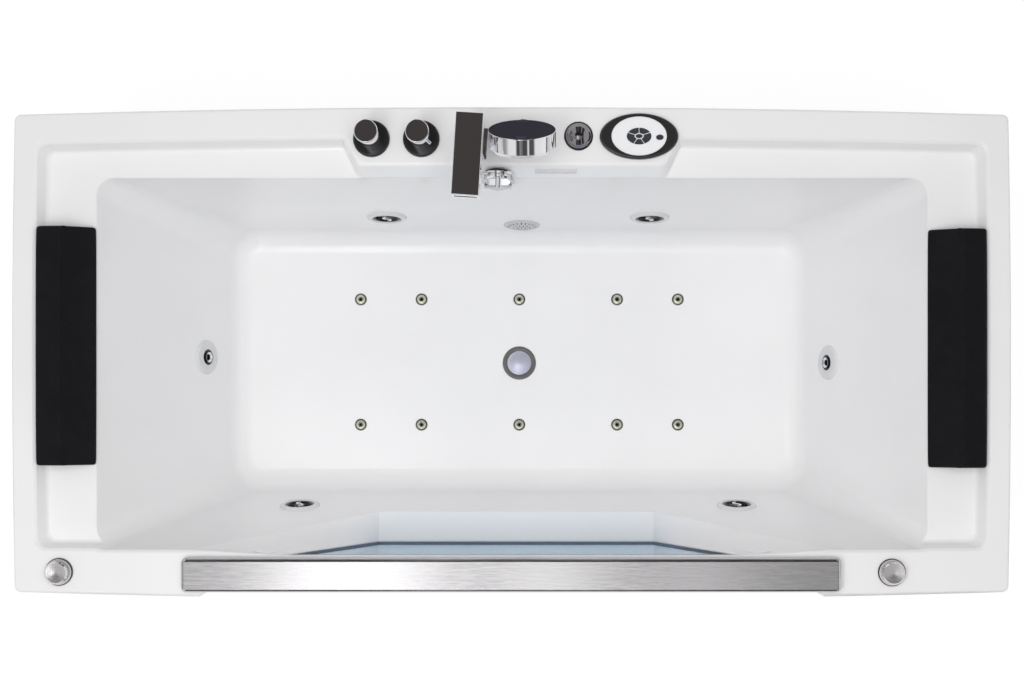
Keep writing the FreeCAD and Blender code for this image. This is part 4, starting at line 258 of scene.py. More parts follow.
def make_raised_zone():
    """1 where the surface stands higher than Rise over a plane, and nearer than Reach to its centre."""
    tree, entry, leave = new_group("raised_zone", [("Centre", VECTOR, (0, 0, 0)),
                                                   ("Facing", VECTOR, (0, 0, 1)),
                                                   ("Rise", FLOAT, 0.0), ("Reach", FLOAT, 1.0)],
                                   [("Zone", FLOAT)])
    place = add_node(tree, "ShaderNodeTexCoord")
    arm = add_node(tree, "ShaderNodeVectorMath", operation="SUBTRACT")
    height = add_node(tree, "ShaderNodeVectorMath", operation="DOT_PRODUCT")
    length = add_node(tree, "ShaderNodeVectorMath", operation="LENGTH")
    higher = add_node(tree, "ShaderNodeMath", operation="GREATER_THAN")
    nearer = add_node(tree, "ShaderNodeMath", operation="LESS_THAN")
    both = add_node(tree, "ShaderNodeMath", operation="MULTIPLY")
    link(tree, place, "Object", arm, 0)
    link(tree, entry, "Centre", arm, 1)
    link(tree, arm, "Vector", height, 0)
    link(tree, entry, "Facing", height, 1)
    link(tree, arm, "Vector", length, 0)
    link(tree, height, "Value", higher, 0)
    link(tree, entry, "Rise", higher, 1)
    link(tree, length, "Value", nearer, 0)
    link(tree, entry, "Reach", nearer, 1)
    link(tree, higher, "Value", both, 0)
    link(tree, nearer, "Value", both, 1)
    link(tree, both, "Value", leave, "Zone")
    return tree


def make_platings_and_painted_light():
    """Two colourings of one piece, real platings on some parts and painted shade or painted reflection on
    others: the first where Zone is 0, the second where it is 1.
    """
    inputs = [("Zone", FLOAT, 0.0)]
    for which in ("First", "Second"):
        inputs += [(which + " colour", COLOUR, (1, 1, 1, 1)), (which + " metal", FLOAT, 0.0),
                   (which + " rough", FLOAT, 0.3)]
    tree, entry, leave = new_group("platings_and_painted_light", inputs, [("Colour", COLOUR), ("Metal", FLOAT),
                                                            ("Rough", FLOAT)])
    mix = add_node(tree, "ShaderNodeMix", data_type="RGBA")
    link(tree, entry, "Zone", mix, 0)
    link(tree, entry, "First colour", mix, 6)
    link(tree, entry, "Second colour", mix, 7)
    tree.links.new(mix.outputs[2], leave.inputs["Colour"])
    for label in ("Metal", "Rough"):
        blend = add_node(tree, "ShaderNodeMix", data_type="FLOAT")
        link(tree, entry, "Zone", blend, 0)
        link(tree, entry, "First " + label.lower(), blend, 2)
        link(tree, entry, "Second " + label.lower(), blend, 3)
        tree.links.new(blend.outputs[0], leave.inputs[label])
    return tree


def make_turned_rings():
    """Fine rings round an axis along Z, left by the lathe, as height."""
    tree, entry, leave = new_group("turned_rings", [("Centre", VECTOR, (0, 0, 0)), ("Pitch", FLOAT, 0.001)],
                                   [("Height", FLOAT)])
    place = add_node(tree, "ShaderNodeTexCoord")
    arm = add_node(tree, "ShaderNodeVectorMath", operation="SUBTRACT")
    flat = add_node(tree, "ShaderNodeVectorMath", operation="MULTIPLY")
    flat.inputs[1].default_value = (1, 1, 0)
    radius = add_node(tree, "ShaderNodeVectorMath", operation="LENGTH")
    count = add_node(tree, "ShaderNodeMath", operation="DIVIDE")
    lines = add_node(tree, "ShaderNodeTexNoise", noise_dimensions="1D", Scale=1.0, Detail=2.0)
    link(tree, place, "Object", arm, 0)
    link(tree, entry, "Centre", arm, 1)
    link(tree, arm, "Vector", flat, 0)
    link(tree, flat, "Vector", radius, 0)
    link(tree, radius, "Value", count, 0)
    link(tree, entry, "Pitch", count, 1)
    link(tree, count, "Value", lines, "W")
    link(tree, lines, "Fac", leave, "Height")
    return tree


patchy_tone = make_patchy_tone()
handled_gloss = make_handled_gloss()
fine_grain = make_fine_grain()
brushed_lines = make_brushed_lines()
raised_zone = make_raised_zone()
platings_and_painted_light = make_platings_and_painted_light()
turned_rings = make_turned_rings()


class Finish:
    """A material under way: its tree, its shader, and short ways to build on it."""

    def __init__(self, name, colour, roughness, **settings):
        self.material = bpy.data.materials.new(name)
        self.material.use_nodes = True
        self.tree = self.material.node_tree
        self.tree.nodes.clear()
        self.shader = add_node(self.tree, "ShaderNodeBsdfPrincipled")
        self.out = add_node(self.tree, "ShaderNodeOutputMaterial")
        link(self.tree, self.shader, "BSDF", self.out, "Surface")
        self.shader.inputs["Base Color"].default_value = (*colour, 1.0)
        self.shader.inputs["Roughness"].default_value = roughness
        for label, value in settings.items():
            self.shader.inputs[label.replace("_", " ")].default_value = value

    def group(self, group, **values):
        node = self.tree.nodes.new("ShaderNodeGroup")
        node.node_tree = group
        for label, value in values.items():
            node.inputs[label.replace("_", " ")].default_value = value
        return node

    def tone(self, colour, size, drift):
        node = self.group(patchy_tone, Colour=(*colour, 1.0), Size=size, Drift=drift)
        link(self.tree, node, "Colour", self.shader, "Base Color")
        return node

    def gloss(self, size, smooth, rough):
        node = self.group(handled_gloss, Size=size, Smooth=smooth, Rough=rough)
        link(self.tree, node, "Roughness", self.shader, "Roughness")

    def bump(self, source, output, strength, distance):
        node = add_node(self.tree, "ShaderNodeBump", Strength=strength, Distance=distance)
        link(self.tree, source, output, node, "Height")
        link(self.tree, node, "Normal", self.shader, "Normal")
        return node

    def grain(self, size, waves, strength, distance):
        return self.bump(self.group(fine_grain, Size=size, Waves=waves), "Height", strength, distance)

    def plating_and_painted_light_zone(self, centre, facing, rise, reach, first, second):
        """First plating all over, second in the raised zone. A plating is colour, metal and rough; on some
        parts one of the two is painted shade, on others a painted reflection.
        """
        zone = self.group(raised_zone, Centre=centre, Facing=facing, Rise=rise, Reach=reach)
        pair = self.group(platings_and_painted_light, First_colour=(*first[0], 1), First_metal=first[1],
                          First_rough=first[2], Second_colour=(*second[0], 1), Second_metal=second[1],
                          Second_rough=second[2])
        link(self.tree, zone, "Zone", pair, "Zone")
        for output, socket in (("Colour", "Base Color"), ("Metal", "Metallic"), ("Rough", "Roughness")):
            link(self.tree, pair, output, self.shader, socket)
        return pair


# ================================================================ materials
def plastic(name, colour, smooth, rough, grain_size, grain_depth, drift=0.02, **settings):
    """Moulded plastic: gloss between smooth and rough, a moulded grain and a slight drift of tone."""
    finish = Finish(name, colour, rough, **settings)
    finish.tone(colour, 5.0, drift)
    finish.gloss(8.0, smooth, rough)
    finish.grain(grain_size, 0.3, 0.35, grain_depth)
    return finish


def polished_acrylic():
    """Cast acrylic sheet: glossy, very slightly wavy, with soft moulded edges."""
    finish = plastic("white_acrylic", ACRYLIC_WHITE, 0.10, 0.17, 120.0, 0.0002, 0.012,
                     IOR=1.49, Coat_Weight=0.15, Coat_Roughness=0.06)
    soften = add_node(finish.tree, "ShaderNodeBevel", samples=6, Radius=0.004)
    bump = next(node for node in finish.tree.nodes if node.type == "BUMP")
    link(finish.tree, soften, "Normal", bump, "Normal")
    return finish.material


def metal(name, colour, smooth, rough, size=14.0, drift=0.02, metallic=1.0, **settings):
    """Plain or plated metal: gloss between smooth and rough in patches of a size, and a drift of tone."""
    finish = Finish(name, colour, rough, Metallic=metallic, **settings)
    finish.tone(colour, 9.0, drift)
    finish.gloss(size, smooth, rough)
    return finish


def polished_chrome():
    """Bright plating with the faint waves of polishing."""
    finish = metal("fitting_chrome", CHROME, 0.03, 0.09)
    finish.grain(90.0, 0.5, 0.15, 0.0001)
    return finish.material


def brushed_steel(name, colour, along, across):
    """Steel brushed along X: fine scratches and a highlight drawn out across them."""
    finish = Finish(name, colour, 0.30, Metallic=1.0, Anisotropic=0.7)
    lines = finish.group(brushed_lines, Along=along, Across=across)
    mix = add_node(finish.tree, "ShaderNodeMix", data_type="RGBA")
    mix.inputs[6].default_value = (*[0.82 * part for part in colour], 1.0)
    mix.inputs[7].default_value = (*[min(1.0, 1.12 * part) for part in colour], 1.0)
    link(finish.tree, lines, "Tone", mix, 0)
    finish.tree.links.new(mix.outputs[2], finish.shader.inputs["Base Color"])
    spread = add_node(finish.tree, "ShaderNodeMapRange")
    spread.inputs["To Min"].default_value = 0.14
    spread.inputs["To Max"].default_value = 0.22
    link(finish.tree, lines, "Tone", spread, "Value")
    link(finish.tree, spread, "Result", finish.shader, "Roughness")
    finish.bump(lines, "Height", 0.25, 0.0002)
    lay = add_node(finish.tree, "ShaderNodeTangent", direction_type="RADIAL", axis="X")
    link(finish.tree, lay, "Tangent", finish.shader, "Tangent")
    return finish.material


def tinted_glass():
    """Blue-tinted clear sheet."""
    finish = Finish("clear_glass", GLASS_BLUE, 0.02, Metallic=0.0, Transmission_Weight=1.0, IOR=1.52)
    finish.gloss(6.0, 0.005, 0.03)
    return finish.material


def birch_board():
    """Plywood under a clear coat, with its grain along X."""
    finish = Finish("coated_board", (0.58, 0.46, 0.30), 0.5)
    place = add_node(finish.tree, "ShaderNodeTexCoord")
    stretch = add_node(finish.tree, "ShaderNodeMapping", Scale=(1.2, 26.0, 26.0))
    rings = add_node(finish.tree, "ShaderNodeTexNoise", Scale=2.0, Detail=6.0, Roughness=0.6, Distortion=1.2)
    ramp = add_node(finish.tree, "ShaderNodeValToRGB")
    ramp.color_ramp.elements[0].color = (0.40, 0.29, 0.16, 1)
    ramp.color_ramp.elements[1].color = (0.68, 0.56, 0.38, 1)
    link(finish.tree, place, "Object", stretch, "Vector")
    link(finish.tree, stretch, "Vector", rings, "Vector")
    link(finish.tree, rings, "Fac", ramp, "Fac")
    link(finish.tree, ramp, "Color", finish.shader, "Base Color")
    finish.gloss(12.0, 0.42, 0.6)
    finish.bump(rings, "Fac", 0.2, 0.0006)
    return finish.material


def pillow_skin():
    """Black foam skin: fine pebbled grain and a soft sheen."""
    finish = Finish("pillow_black", PILLOW_BLACK, 0.6, Sheen_Weight=0.02, Sheen_Roughness=0.4,
                    Specular_IOR_Level=0.22)
    finish.tone(PILLOW_BLACK, 7.0, 0.15)
    finish.gloss(16.0, 0.55, 0.72)
    place = add_node(finish.tree, "ShaderNodeTexCoord")
    pebbles = add_node(finish.tree, "ShaderNodeTexVoronoi", feature="SMOOTH_F1", Scale=520.0, Smoothness=0.6)
    link(finish.tree, place, "Object", pebbles, "Vector")
    finish.bump(pebbles, "Distance", 0.5, 0.0005)
    return finish.material


# A zone's reach that takes in the whole part.
EVERYWHERE = 10.0
# Platings: colour, metal and rough. The dark and the pale one are painted reflections.
BLACK_MOULDING = (MOULDED_BLACK, 0.0, 0.12)
PAINTED_PALE_REFLECTION = ((0.72, 0.71, 0.71), 0.2, 0.2)
PAINTED_DARK_REFLECTION = ((0.030, 0.029, 0.032), 0.25, 0.12)
BRIGHT_PLATING = (CHROME, 1.0, 0.08)


def swirl_finish(name, place):
    """Black turning eye whose S-shaped bridge is plated."""
    finish = Finish(name, MOULDED_BLACK, 0.12, Specular_IOR_Level=0.2)
    finish.plating_and_painted_light_zone(*place, rise=0.0008, reach=0.0175, first=BLACK_MOULDING,
                       second=((0.90, 0.90, 0.92), 0.6, 0.16))
    finish.grain(120.0, 0.4, 0.1, 0.0001)
    return finish.material


def nozzle_finish(name, place):
    """Black aiming nozzle in a pale seat, with a plated mouth."""
    point, facing = place
    finish = Finish(name, MOULDED_BLACK, 0.12)
    finish.plating_and_painted_light_zone(point + facing * 0.008, facing, rise=-0.0028, reach=0.0104,
                       first=BLACK_MOULDING, second=BRIGHT_PLATING)
    finish.grain(120.0, 0.4, 0.1, 0.0001)
    return finish.material


def strainer_finish(place):
    """Silvery strainer with painted shade in its slots: their walls lie inside the ball of its dome and are
    coloured near black.
    """
    finish = Finish("strainer_silver", STRAINER_SILVER, 0.25)
    point, facing = place
    ball = (STRAINER_RADIUS ** 2 + STRAINER_DOME ** 2) / (2 * STRAINER_DOME)
    depth = ball - STRAINER_DOME - STRAINER_EDGE
    # Painted shade: the slot walls, inside the ball of the dome, take the near-black second colouring.
    finish.plating_and_painted_light_zone(point - facing * depth, facing, rise=depth + STRAINER_EDGE + 0.0002,
                       reach=ball - 0.0001, first=(STRAINER_SILVER, 0.25, 0.2),
                       second=((0.02, 0.02, 0.022), 0.0, 0.4))
    finish.grain(160.0, 0.4, 0.15, 0.0001)
    return finish.material


def handset_finish():
    """Chrome head with a dark-plated back."""
    finish = Finish("handset_chrome", CHROME, 0.06, Specular_IOR_Level=0.0)
    finish.plating_and_painted_light_zone(HANDSET_BACK, -SPRAY_WAY, rise=-0.0006, reach=EVERYWHERE, first=BRIGHT_PLATING,
                       second=((0.060, 0.056, 0.075), 0.0, 0.2))
    finish.grain(90.0, 0.5, 0.12, 0.0001)
    return finish.material


def bubble_jet_finish():
    """Nickel-plated heads with painted shade: darker below 1.9 mm over the floor, round the rim and in the
    socket.
    """
    finish = Finish("bubble_jet_nickel", (0.5, 0.5, 0.42), 0.3)
    # Painted shade: everything less than 1.9 mm above the floor, rim and socket, takes the dark first
    # colouring.
    finish.plating_and_painted_light_zone((0, 0, FLOOR_HEIGHT), (0, 0, 1), rise=0.0019, reach=EVERYWHERE,
                       first=((0.115, 0.110, 0.085), 0.30, 0.25), second=((0.66, 0.66, 0.56), 0.38, 0.2))
    finish.grain(300.0, 0.4, 0.2, 0.0001)
    return finish.material


def painted_reflection_chrome(name, centre, facing, rise, low, high):
    """Chrome with a painted reflection: coloured to mirror the dark ceiling on one side of a plane and the
    bright room on the other.
    """
    finish = Finish(name, CHROME, 0.08)
    finish.plating_and_painted_light_zone(centre, facing, rise, EVERYWHERE, low, high)
    finish.grain(90.0, 0.5, 0.12, 0.0001)
    return finish.material


def knob_finish(side):
    """Spun chrome cap with fine rings round its middle."""
    finish = metal("spun_knob_" + side, (0.72, 0.70, 0.70), 0.10, 0.16, Anisotropic=0.5)
    rings = finish.group(turned_rings, Centre=(*KNOB_PLACES[side], 0), Pitch=0.0011)
    finish.bump(rings, "Height", 0.35, 0.0002)
    return finish.material


def cast_alloy():
    """Blasted alloy of the motor's body."""
    finish = metal("motor_alloy", (0.42, 0.43, 0.45), 0.38, 0.55, 30.0, 0.06)
    finish.grain(380.0, 0.4, 0.5, 0.0006)
    return finish.material


chrome = polished_chrome()
white_acrylic = polished_acrylic()
pipe_white = plastic("pipe_grey", (0.62, 0.63, 0.64), 0.28, 0.42, 260.0, 0.0004, 0.04).material
frame_paint = plastic("frame_paint", (0.33, 0.35, 0.37), 0.32, 0.48, 420.0, 0.0005, 0.05).material
machine_black = plastic("machine_black", (0.020, 0.020, 0.022), 0.35, 0.5, 700.0, 0.0007, 0.1).material
rail_steel = brushed_steel("rail_steel", STEEL, 28.0, 420.0)
screw_steel = brushed_steel("screw_steel", (0.62, 0.62, 0.63), 60.0, 900.0)
motor_alloy = cast_alloy()
rotor_brass = metal("rotor_brass", (0.66, 0.48, 0.20), 0.18, 0.32, 30.0, 0.05).material
plug_metal = metal("plug_metal", (0.64, 0.65, 0.78), 0.24, 0.34, 18.0, 0.03, metallic=0.45).material
drain_metal = metal("drain_steel", (0.17, 0.166, 0.166), 0.34, 0.44, 24.0, 0.05, metallic=0.35).material
flange_plastic = plastic("jet_flange_white", WHITE_PLASTIC, 0.14, 0.22, 160.0, 0.0002, 0.015).material
rubber = plastic("seal_rubber", (0.15, 0.19, 0.25), 0.45, 0.6, 300.0, 0.0004, 0.1).material
bezel_black = plastic("panel_black", (0.030, 0.029, 0.029), 0.06, 0.14, 200.0, 0.0001, 0.05,
                      Coat_Weight=0.3, Coat_Roughness=0.05).material
key_rubber = plastic("key_grey", (0.035, 0.037, 0.045), 0.45, 0.6, 500.0, 0.0004, 0.05).material
face_plastic = plastic("panel_face_white", FACE_WHITE, 0.25, 0.36, 300.0, 0.0002, 0.01).material
apron_plastic = plastic("white_panel", PANEL_WHITE, 0.12, 0.2, 140.0, 0.0002, 0.015).material
probe_plastic = plastic("probe_white", (0.72, 0.71, 0.72), 0.25, 0.35, 300.0, 0.0003, 0.02).material
box_plastic = plastic("box_grey", (0.30, 0.32, 0.34), 0.3, 0.45, 420.0, 0.0006, 0.03).material
pillow_black = pillow_skin()
dark_chrome = metal("dark_chrome", (0.06, 0.058, 0.062), 0.08, 0.16).material
button_chrome = metal("button_chrome", (0.25, 0.24, 0.25), 0.04, 0.10).material

finishes = {
    white_acrylic: ["tub_shell"],
    flange_plastic: ["jet_flanges"],
    drain_metal: ["drain_flange"],
    strainer_finish(wall_place(*SUCTION_PLACE)): ["suction_cover"],
    handset_finish(): ["handset"],
    bubble_jet_finish(): ["bubble_jets"],
    knob_finish("left"): ["air_knob_left"],
    knob_finish("right"): ["air_knob_right"],
    apron_plastic: ["front_apron", "left_apron", "right_apron"],
    face_plastic: ["panel_face"],
    birch_board(): ["floor_board"],
    frame_paint: ["base_frame", "levelling_feet"],
    screw_steel: ["apron_screws"],
    rail_steel: ["handrail"],
    tinted_glass(): ["window_glass"],
    rubber: ["window_seal"],
    chrome: ["tap_handle_left", "tap_handle_right", "spout", "shower_socket", "overflow_knob"],
    # Painted reflections: the dark and pale zones of these three chrome parts are coloured in.
    painted_reflection_chrome("tap_valve_chrome", (0, 0, TAP_FLANGE_TOP), (0, 0, 1), 0.0, PAINTED_DARK_REFLECTION,
                    BRIGHT_PLATING): ["tap_valves"],
    painted_reflection_chrome("knob_base_chrome", (0, 0, KNOB_BASE_TOP), (0, 0, 1), 0.0, PAINTED_DARK_REFLECTION,
                    PAINTED_PALE_REFLECTION): ["air_knob_bases"],
    painted_reflection_chrome("overflow_chrome", OVERFLOW_MIDDLE, (0, 1, 0), 0.013, BRIGHT_PLATING,
                    PAINTED_DARK_REFLECTION): ["overflow_cover"],
    dark_chrome: ["dome_bezel"],
    button_chrome: ["dome_button"],
    plug_metal: ["drain_plug"],
    probe_plastic: ["probe_bar"],
    bezel_black: ["panel_bezel"],
    key_rubber: ["ring_key_1", "ring_key_2", "ring_key_3", "ring_key_4", "ring_key_5", "centre_key",
                 "round_key"],
    pipe_white: ["pressure_pipe", "suction_pipe", "air_control_pipes", "air_manifold", "overflow_pipe",
                 "waste_trap", "jet_housings"],
    machine_black: ["pump_casing", "blower_housing", "blower_fan"],
    motor_alloy: ["pump_motor"],
    rotor_brass: ["pump_rotor"],
    box_plastic: ["control_box"],
}
for name, place in SWIRL_PLACES.items():
    finishes[swirl_finish(name.replace("eye_", ""), wall_place(*place))] = [name]
for name, place in NOZZLE_PLACES.items():
    finishes[nozzle_finish(name.replace("aiming_", ""), wall_place(*place))] = [name]
for finish, nodes in finishes.items():
    for name in nodes:
        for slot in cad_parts[name].material_slots:
            slot.material = finish


# ================================================================ mesh helpers
def mesh_object(name, mesh, finish):
    """An object in the scene with one finish."""
    obj = bpy.data.objects.new(name, mesh)
    bpy.context.scene.collection.objects.link(obj)
    obj.data.materials.clear()
    obj.data.materials.append(finish)
    return obj


def smooth_points(points, count):
    """A closed Catmull-Rom line through the points, cut evenly by parameter."""
    line = []
    total = len(points)
    for step in range(count):
        spot = step * total / count
        index = int(spot)
        t = spot - index
        p0, p1, p2, p3 = [Vector(points[(index + k) % total]) for k in (-1, 0, 1, 2)]
        line.append(0.5 * (2 * p1 + (p2 - p0) * t + (2 * p0 - 5 * p1 + 4 * p2 - p3) * t ** 2
                           + (3 * p1 - p0 - 3 * p2 + p3) * t ** 3))
    return line


# ================================================================ pillows
# Cross-section from the basin side (0) to the wall side (1), and its height from 0 to 1. The raised
# line near the middle is the moulded ridge.
PILLOW_PROFILE = [(0.10, 0.0), (0.30, 0.0), (0.55, 0.0), (0.76, 0.0), (0.86, 0.03), (0.945, 0.18),
                  (0.985, 0.42), (1.0, 0.62), (0.993, 0.77), (0.970, 0.85), (0.92, 0.885), (0.80, 0.925),
                  (0.66, 0.962), (0.575, 0.985), (0.556, 0.992), (0.549, 1.008), (0.540, 1.014),
                  (0.531, 1.006), (0.524, 0.972), (0.505, 0.945), (0.42, 0.835), (0.30, 0.665),
                  (0.17, 0.475), (0.07, 0.31), (0.012, 0.20), (0.0, 0.12), (0.025, 0.03)]
# Along the pillow, from its middle (0) to its end (1): how full it is, and how far it draws in.
PILLOW_STATIONS = [(0.0, 1.0, 0.0), (0.3, 0.998, 0.0), (0.6, 0.992, 0.0), (0.8, 0.986, 0.0002),
                   (0.9, 0.982, 0.0004), (0.96, 0.976, 0.0006), (0.982, 0.966, 0.0010),
                   (0.993, 0.94, 0.0020), (0.998, 0.90, 0.0034), (1.0, 0.86, 0.0050)]
PILLOW_SHIFT = {1: -0.0035, -1: 0.0010}      # the right one lies a little further forward
PILLOW_LOOP = 108
PILLOW_END_RINGS = (0.82, 0.5, 0.2)
PEG_RADIUS = 0.004
PEG_X = 0.800
PEG_REACH = 0.130
PEG_LENGTH = 0.014
PEG_SINK = 0.004                 # how far a peg runs up into the foam


def pillow(side, name, node, body):
    """Moulded foam pillow on the end ledge: crowned, drawn in at its ends, on two pegs."""
    low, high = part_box(node)
    half = (high[1] - low[1]) / 2
    peg_y = (high[1] + low[1]) / 2
    middle_y = peg_y + PILLOW_SHIFT[side]
    seat = low[2] + PEG_LENGTH
    inner, outer = (low[0], high[0]) if side > 0 else (high[0], low[0])
    height = high[2] - seat
    build = bmesh.new()
    stations = [(-share, full, draw) for share, full, draw in reversed(PILLOW_STATIONS)]
    stations += PILLOW_STATIONS[1:]
    loops = []
    for share, full, draw in stations:
        loop = []
        for across, up in smooth_points(PILLOW_PROFILE, PILLOW_LOOP):
            x = inner + (outer - inner) * across
            x += (draw if across < 0.5 else -draw) * side
            loop.append(build.verts.new((x, middle_y + share * half, seat + max(0.0, up) * height * full)))
        loops.append(loop)
    for first, second in zip(loops, loops[1:]):
        for k in range(PILLOW_LOOP):
            following = (k + 1) % PILLOW_LOOP
            build.faces.new((first[k], first[following], second[following], second[k]))
    for loop in (loops[0], loops[-1]):
        centre = sum((vert.co for vert in loop), Vector()) / len(loop)
        inner_loop = loop
        for shrink in PILLOW_END_RINGS:
            ring = [build.verts.new(centre + (vert.co - centre) * shrink) for vert in loop]
            for k in range(PILLOW_LOOP):
                following = (k + 1) % PILLOW_LOOP
                build.faces.new((inner_loop[k], inner_loop[following], ring[following], ring[k]))
            inner_loop = ring
        build.faces.new(inner_loop)
    peg_top = seat + PEG_SINK
    for along in (-1, 1):
        made = bmesh.ops.create_cone(build, cap_ends=True, segments=24, radius1=PEG_RADIUS * 0.8,
                                     radius2=PEG_RADIUS, depth=peg_top - low[2])
        shift = Matrix.Translation((side * PEG_X, peg_y + along * PEG_REACH, (peg_top + low[2]) / 2))
        bmesh.ops.transform(build, matrix=shift, verts=made["verts"])
    bmesh.ops.recalc_face_normals(build, faces=build.faces)
    mesh = bpy.data.meshes.new(name)
    build.to_mesh(mesh)
    build.free()
    mesh.polygons.foreach_set("use_smooth", [True] * len(mesh.polygons))
    piece = mesh_object(name, mesh, pillow_black)
    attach(piece, body)
    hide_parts(node)
    return piece


pillow(1, "foam_pillow_right", "pillow_right", "pillow_right_body")
pillow(-1, "foam_pillow_left", "pillow_left", "pillow_left_body")


# ================================================================ repeated details
def new_detail(name, inputs):
    """A geometry tree with named inputs. Each entry is (name, socket type, default)."""
    tree = bpy.data.node_groups.new(name, "GeometryNodeTree")
    tree.interface.new_socket("Places", in_out="INPUT", socket_type="NodeSocketGeometry")
    for label, kind, value in inputs:
        tree.interface.new_socket(label, in_out="INPUT", socket_type=kind).default_value = value
    tree.interface.new_socket("Detail", in_out="OUTPUT", socket_type="NodeSocketGeometry")
    return tree, tree.nodes.new("NodeGroupInput"), tree.nodes.new("NodeGroupOutput")


def maths(tree, operation, *values):
    """A math node fed by numbers and by the outputs of other nodes."""
    node = add_node(tree, "ShaderNodeMath", operation=operation)
    for socket, value in zip(node.inputs, values):
        if isinstance(value, (int, float)):
            socket.default_value = value
        else:
            tree.links.new(value, socket)
    return node.outputs[0]


def end_detail(tree, leave, source, output, finish):
    """Last nodes of a geometry tree: real copies in their finish."""
    real = add_node(tree, "GeometryNodeRealizeInstances")
    paint = add_node(tree, "GeometryNodeSetMaterial", Material=finish)
    link(tree, source, output, real, "Geometry")
    link(tree, real, "Geometry", paint, "Geometry")
    link(tree, paint, "Geometry", leave, "Detail")


def bake_detail(name, tree, values, places, finish, body):
    """Runs a geometry tree once and keeps what it makes as one plain mesh."""
    maker = bpy.data.objects.new(name + "_maker", places)
    bpy.context.scene.collection.objects.link(maker)
    modifier = maker.modifiers.new("detail", "NODES")
    modifier.node_group = tree
    for item in tree.interface.items_tree:
        if item.in_out == "INPUT" and item.name in values:
            modifier[item.identifier] = values[item.name]
    depsgraph = bpy.context.evaluated_depsgraph_get()
    mesh = bpy.data.meshes.new_from_object(maker.evaluated_get(depsgraph))
    maker.modifiers.remove(modifier)
    bpy.data.objects.remove(maker)
    piece = mesh_object(name, mesh, finish)
    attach(piece, body)
    return piece


def place_mesh(name, places):
    """A mesh of loose points. Each place is (point, axis, size)."""
    mesh = bpy.data.meshes.new(name)
    mesh.from_pydata([place[0] for place in places], [], [])
    mesh.attributes.new("axis", "FLOAT_VECTOR", "POINT")
    mesh.attributes.new("size", "FLOAT", "POINT")
    for index, (_, axis, size) in enumerate(places):
        mesh.attributes["axis"].data[index].vector = axis
        mesh.attributes["size"].data[index].value = size
    return mesh


def spray_nubs_tree(finish):
    """Soft nubs in rings round a middle one: ring k holds 6k of them."""
    tree, entry, leave = new_detail("spray_nubs", [("Nubs", "NodeSocketInt", 91),
                                                   ("Ring step", FLOAT, 0.008),
                                                   ("Nub radius", FLOAT, 0.0012),
                                                   ("Nub height", FLOAT, 0.0022),
                                                   ("Place", VECTOR, (0, 0, 0)),
                                                   ("Turn", VECTOR, (0, 0, 0))])
    index = add_node(tree, "GeometryNodeInputIndex").outputs[0]
    grown = maths(tree, "SQRT", maths(tree, "MULTIPLY_ADD", index, 12.0, 9.0))
    ring = maths(tree, "CEIL", maths(tree, "DIVIDE", maths(tree, "SUBTRACT", grown, 3.0), 6.0))
    before = maths(tree, "MULTIPLY", maths(tree, "MULTIPLY", ring, 3.0), maths(tree, "SUBTRACT", ring, 1.0))
    step = maths(tree, "SUBTRACT", maths(tree, "SUBTRACT", index, before), 1.0)
    angle = maths(tree, "MULTIPLY", maths(tree, "DIVIDE", step, ring), math.tau / 6)
    radius = maths(tree, "MULTIPLY", ring, entry.outputs["Ring step"])
    merge = add_node(tree, "ShaderNodeCombineXYZ")
    tree.links.new(maths(tree, "MULTIPLY", radius, maths(tree, "COSINE", angle)), merge.inputs["X"])
    tree.links.new(maths(tree, "MULTIPLY", radius, maths(tree, "SINE", angle)), merge.inputs["Y"])
    points = add_node(tree, "GeometryNodePoints")
    nub = add_node(tree, "GeometryNodeMeshCone", Vertices=10)
    thinner = maths(tree, "MULTIPLY", entry.outputs["Nub radius"], 0.72)
    copies = add_node(tree, "GeometryNodeInstanceOnPoints")
    move = add_node(tree, "GeometryNodeTransform")
    link(tree, entry, "Nubs", points, "Count")
    link(tree, merge, "Vector", points, "Position")
    tree.links.new(thinner, nub.inputs["Radius Top"])
    link(tree, entry, "Nub radius", nub, "Radius Bottom")
    link(tree, entry, "Nub height", nub, "Depth")
    link(tree, points, "Points", copies, "Points")
    link(tree, nub, "Mesh", copies, "Instance")
    link(tree, copies, "Instances", move, "Geometry")
    link(tree, entry, "Place", move, "Translation")
    link(tree, entry, "Turn", move, "Rotation")
    end_detail(tree, leave, move, "Geometry", finish)
    return tree


def cooling_fins_tree(finish):
    """Straight fins standing out round a motor body, along its axis."""
    tree, entry, leave = new_detail("cooling_fins", [("Fins", "NodeSocketInt", 36),
                                                     ("Middle radius", FLOAT, 0.066),
                                                     ("Fin size", VECTOR, (0.0065, 0.0016, 0.152)),
                                                     ("Place", VECTOR, (0, 0, 0)),
                                                     ("Turn", VECTOR, (0, 0, 0))])
    circle = add_node(tree, "GeometryNodeMeshCircle")
    fin = add_node(tree, "GeometryNodeMeshCube")
    spot = add_node(tree, "GeometryNodeInputPosition")
    outward = add_node(tree, "FunctionNodeAlignRotationToVector", axis="X", pivot_axis="Z")
    copies = add_node(tree, "GeometryNodeInstanceOnPoints")
    move = add_node(tree, "GeometryNodeTransform")
    link(tree, entry, "Fins", circle, "Vertices")
    link(tree, entry, "Middle radius", circle, "Radius")
    link(tree, entry, "Fin size", fin, "Size")
    link(tree, spot, "Position", outward, "Vector")
    link(tree, circle, "Mesh", copies, "Points")
    link(tree, fin, "Mesh", copies, "Instance")
    link(tree, outward, "Rotation", copies, "Rotation")
    link(tree, copies, "Instances", move, "Geometry")
    link(tree, entry, "Place", move, "Translation")
    link(tree, entry, "Turn", move, "Rotation")
    end_detail(tree, leave, move, "Geometry", finish)
    return tree


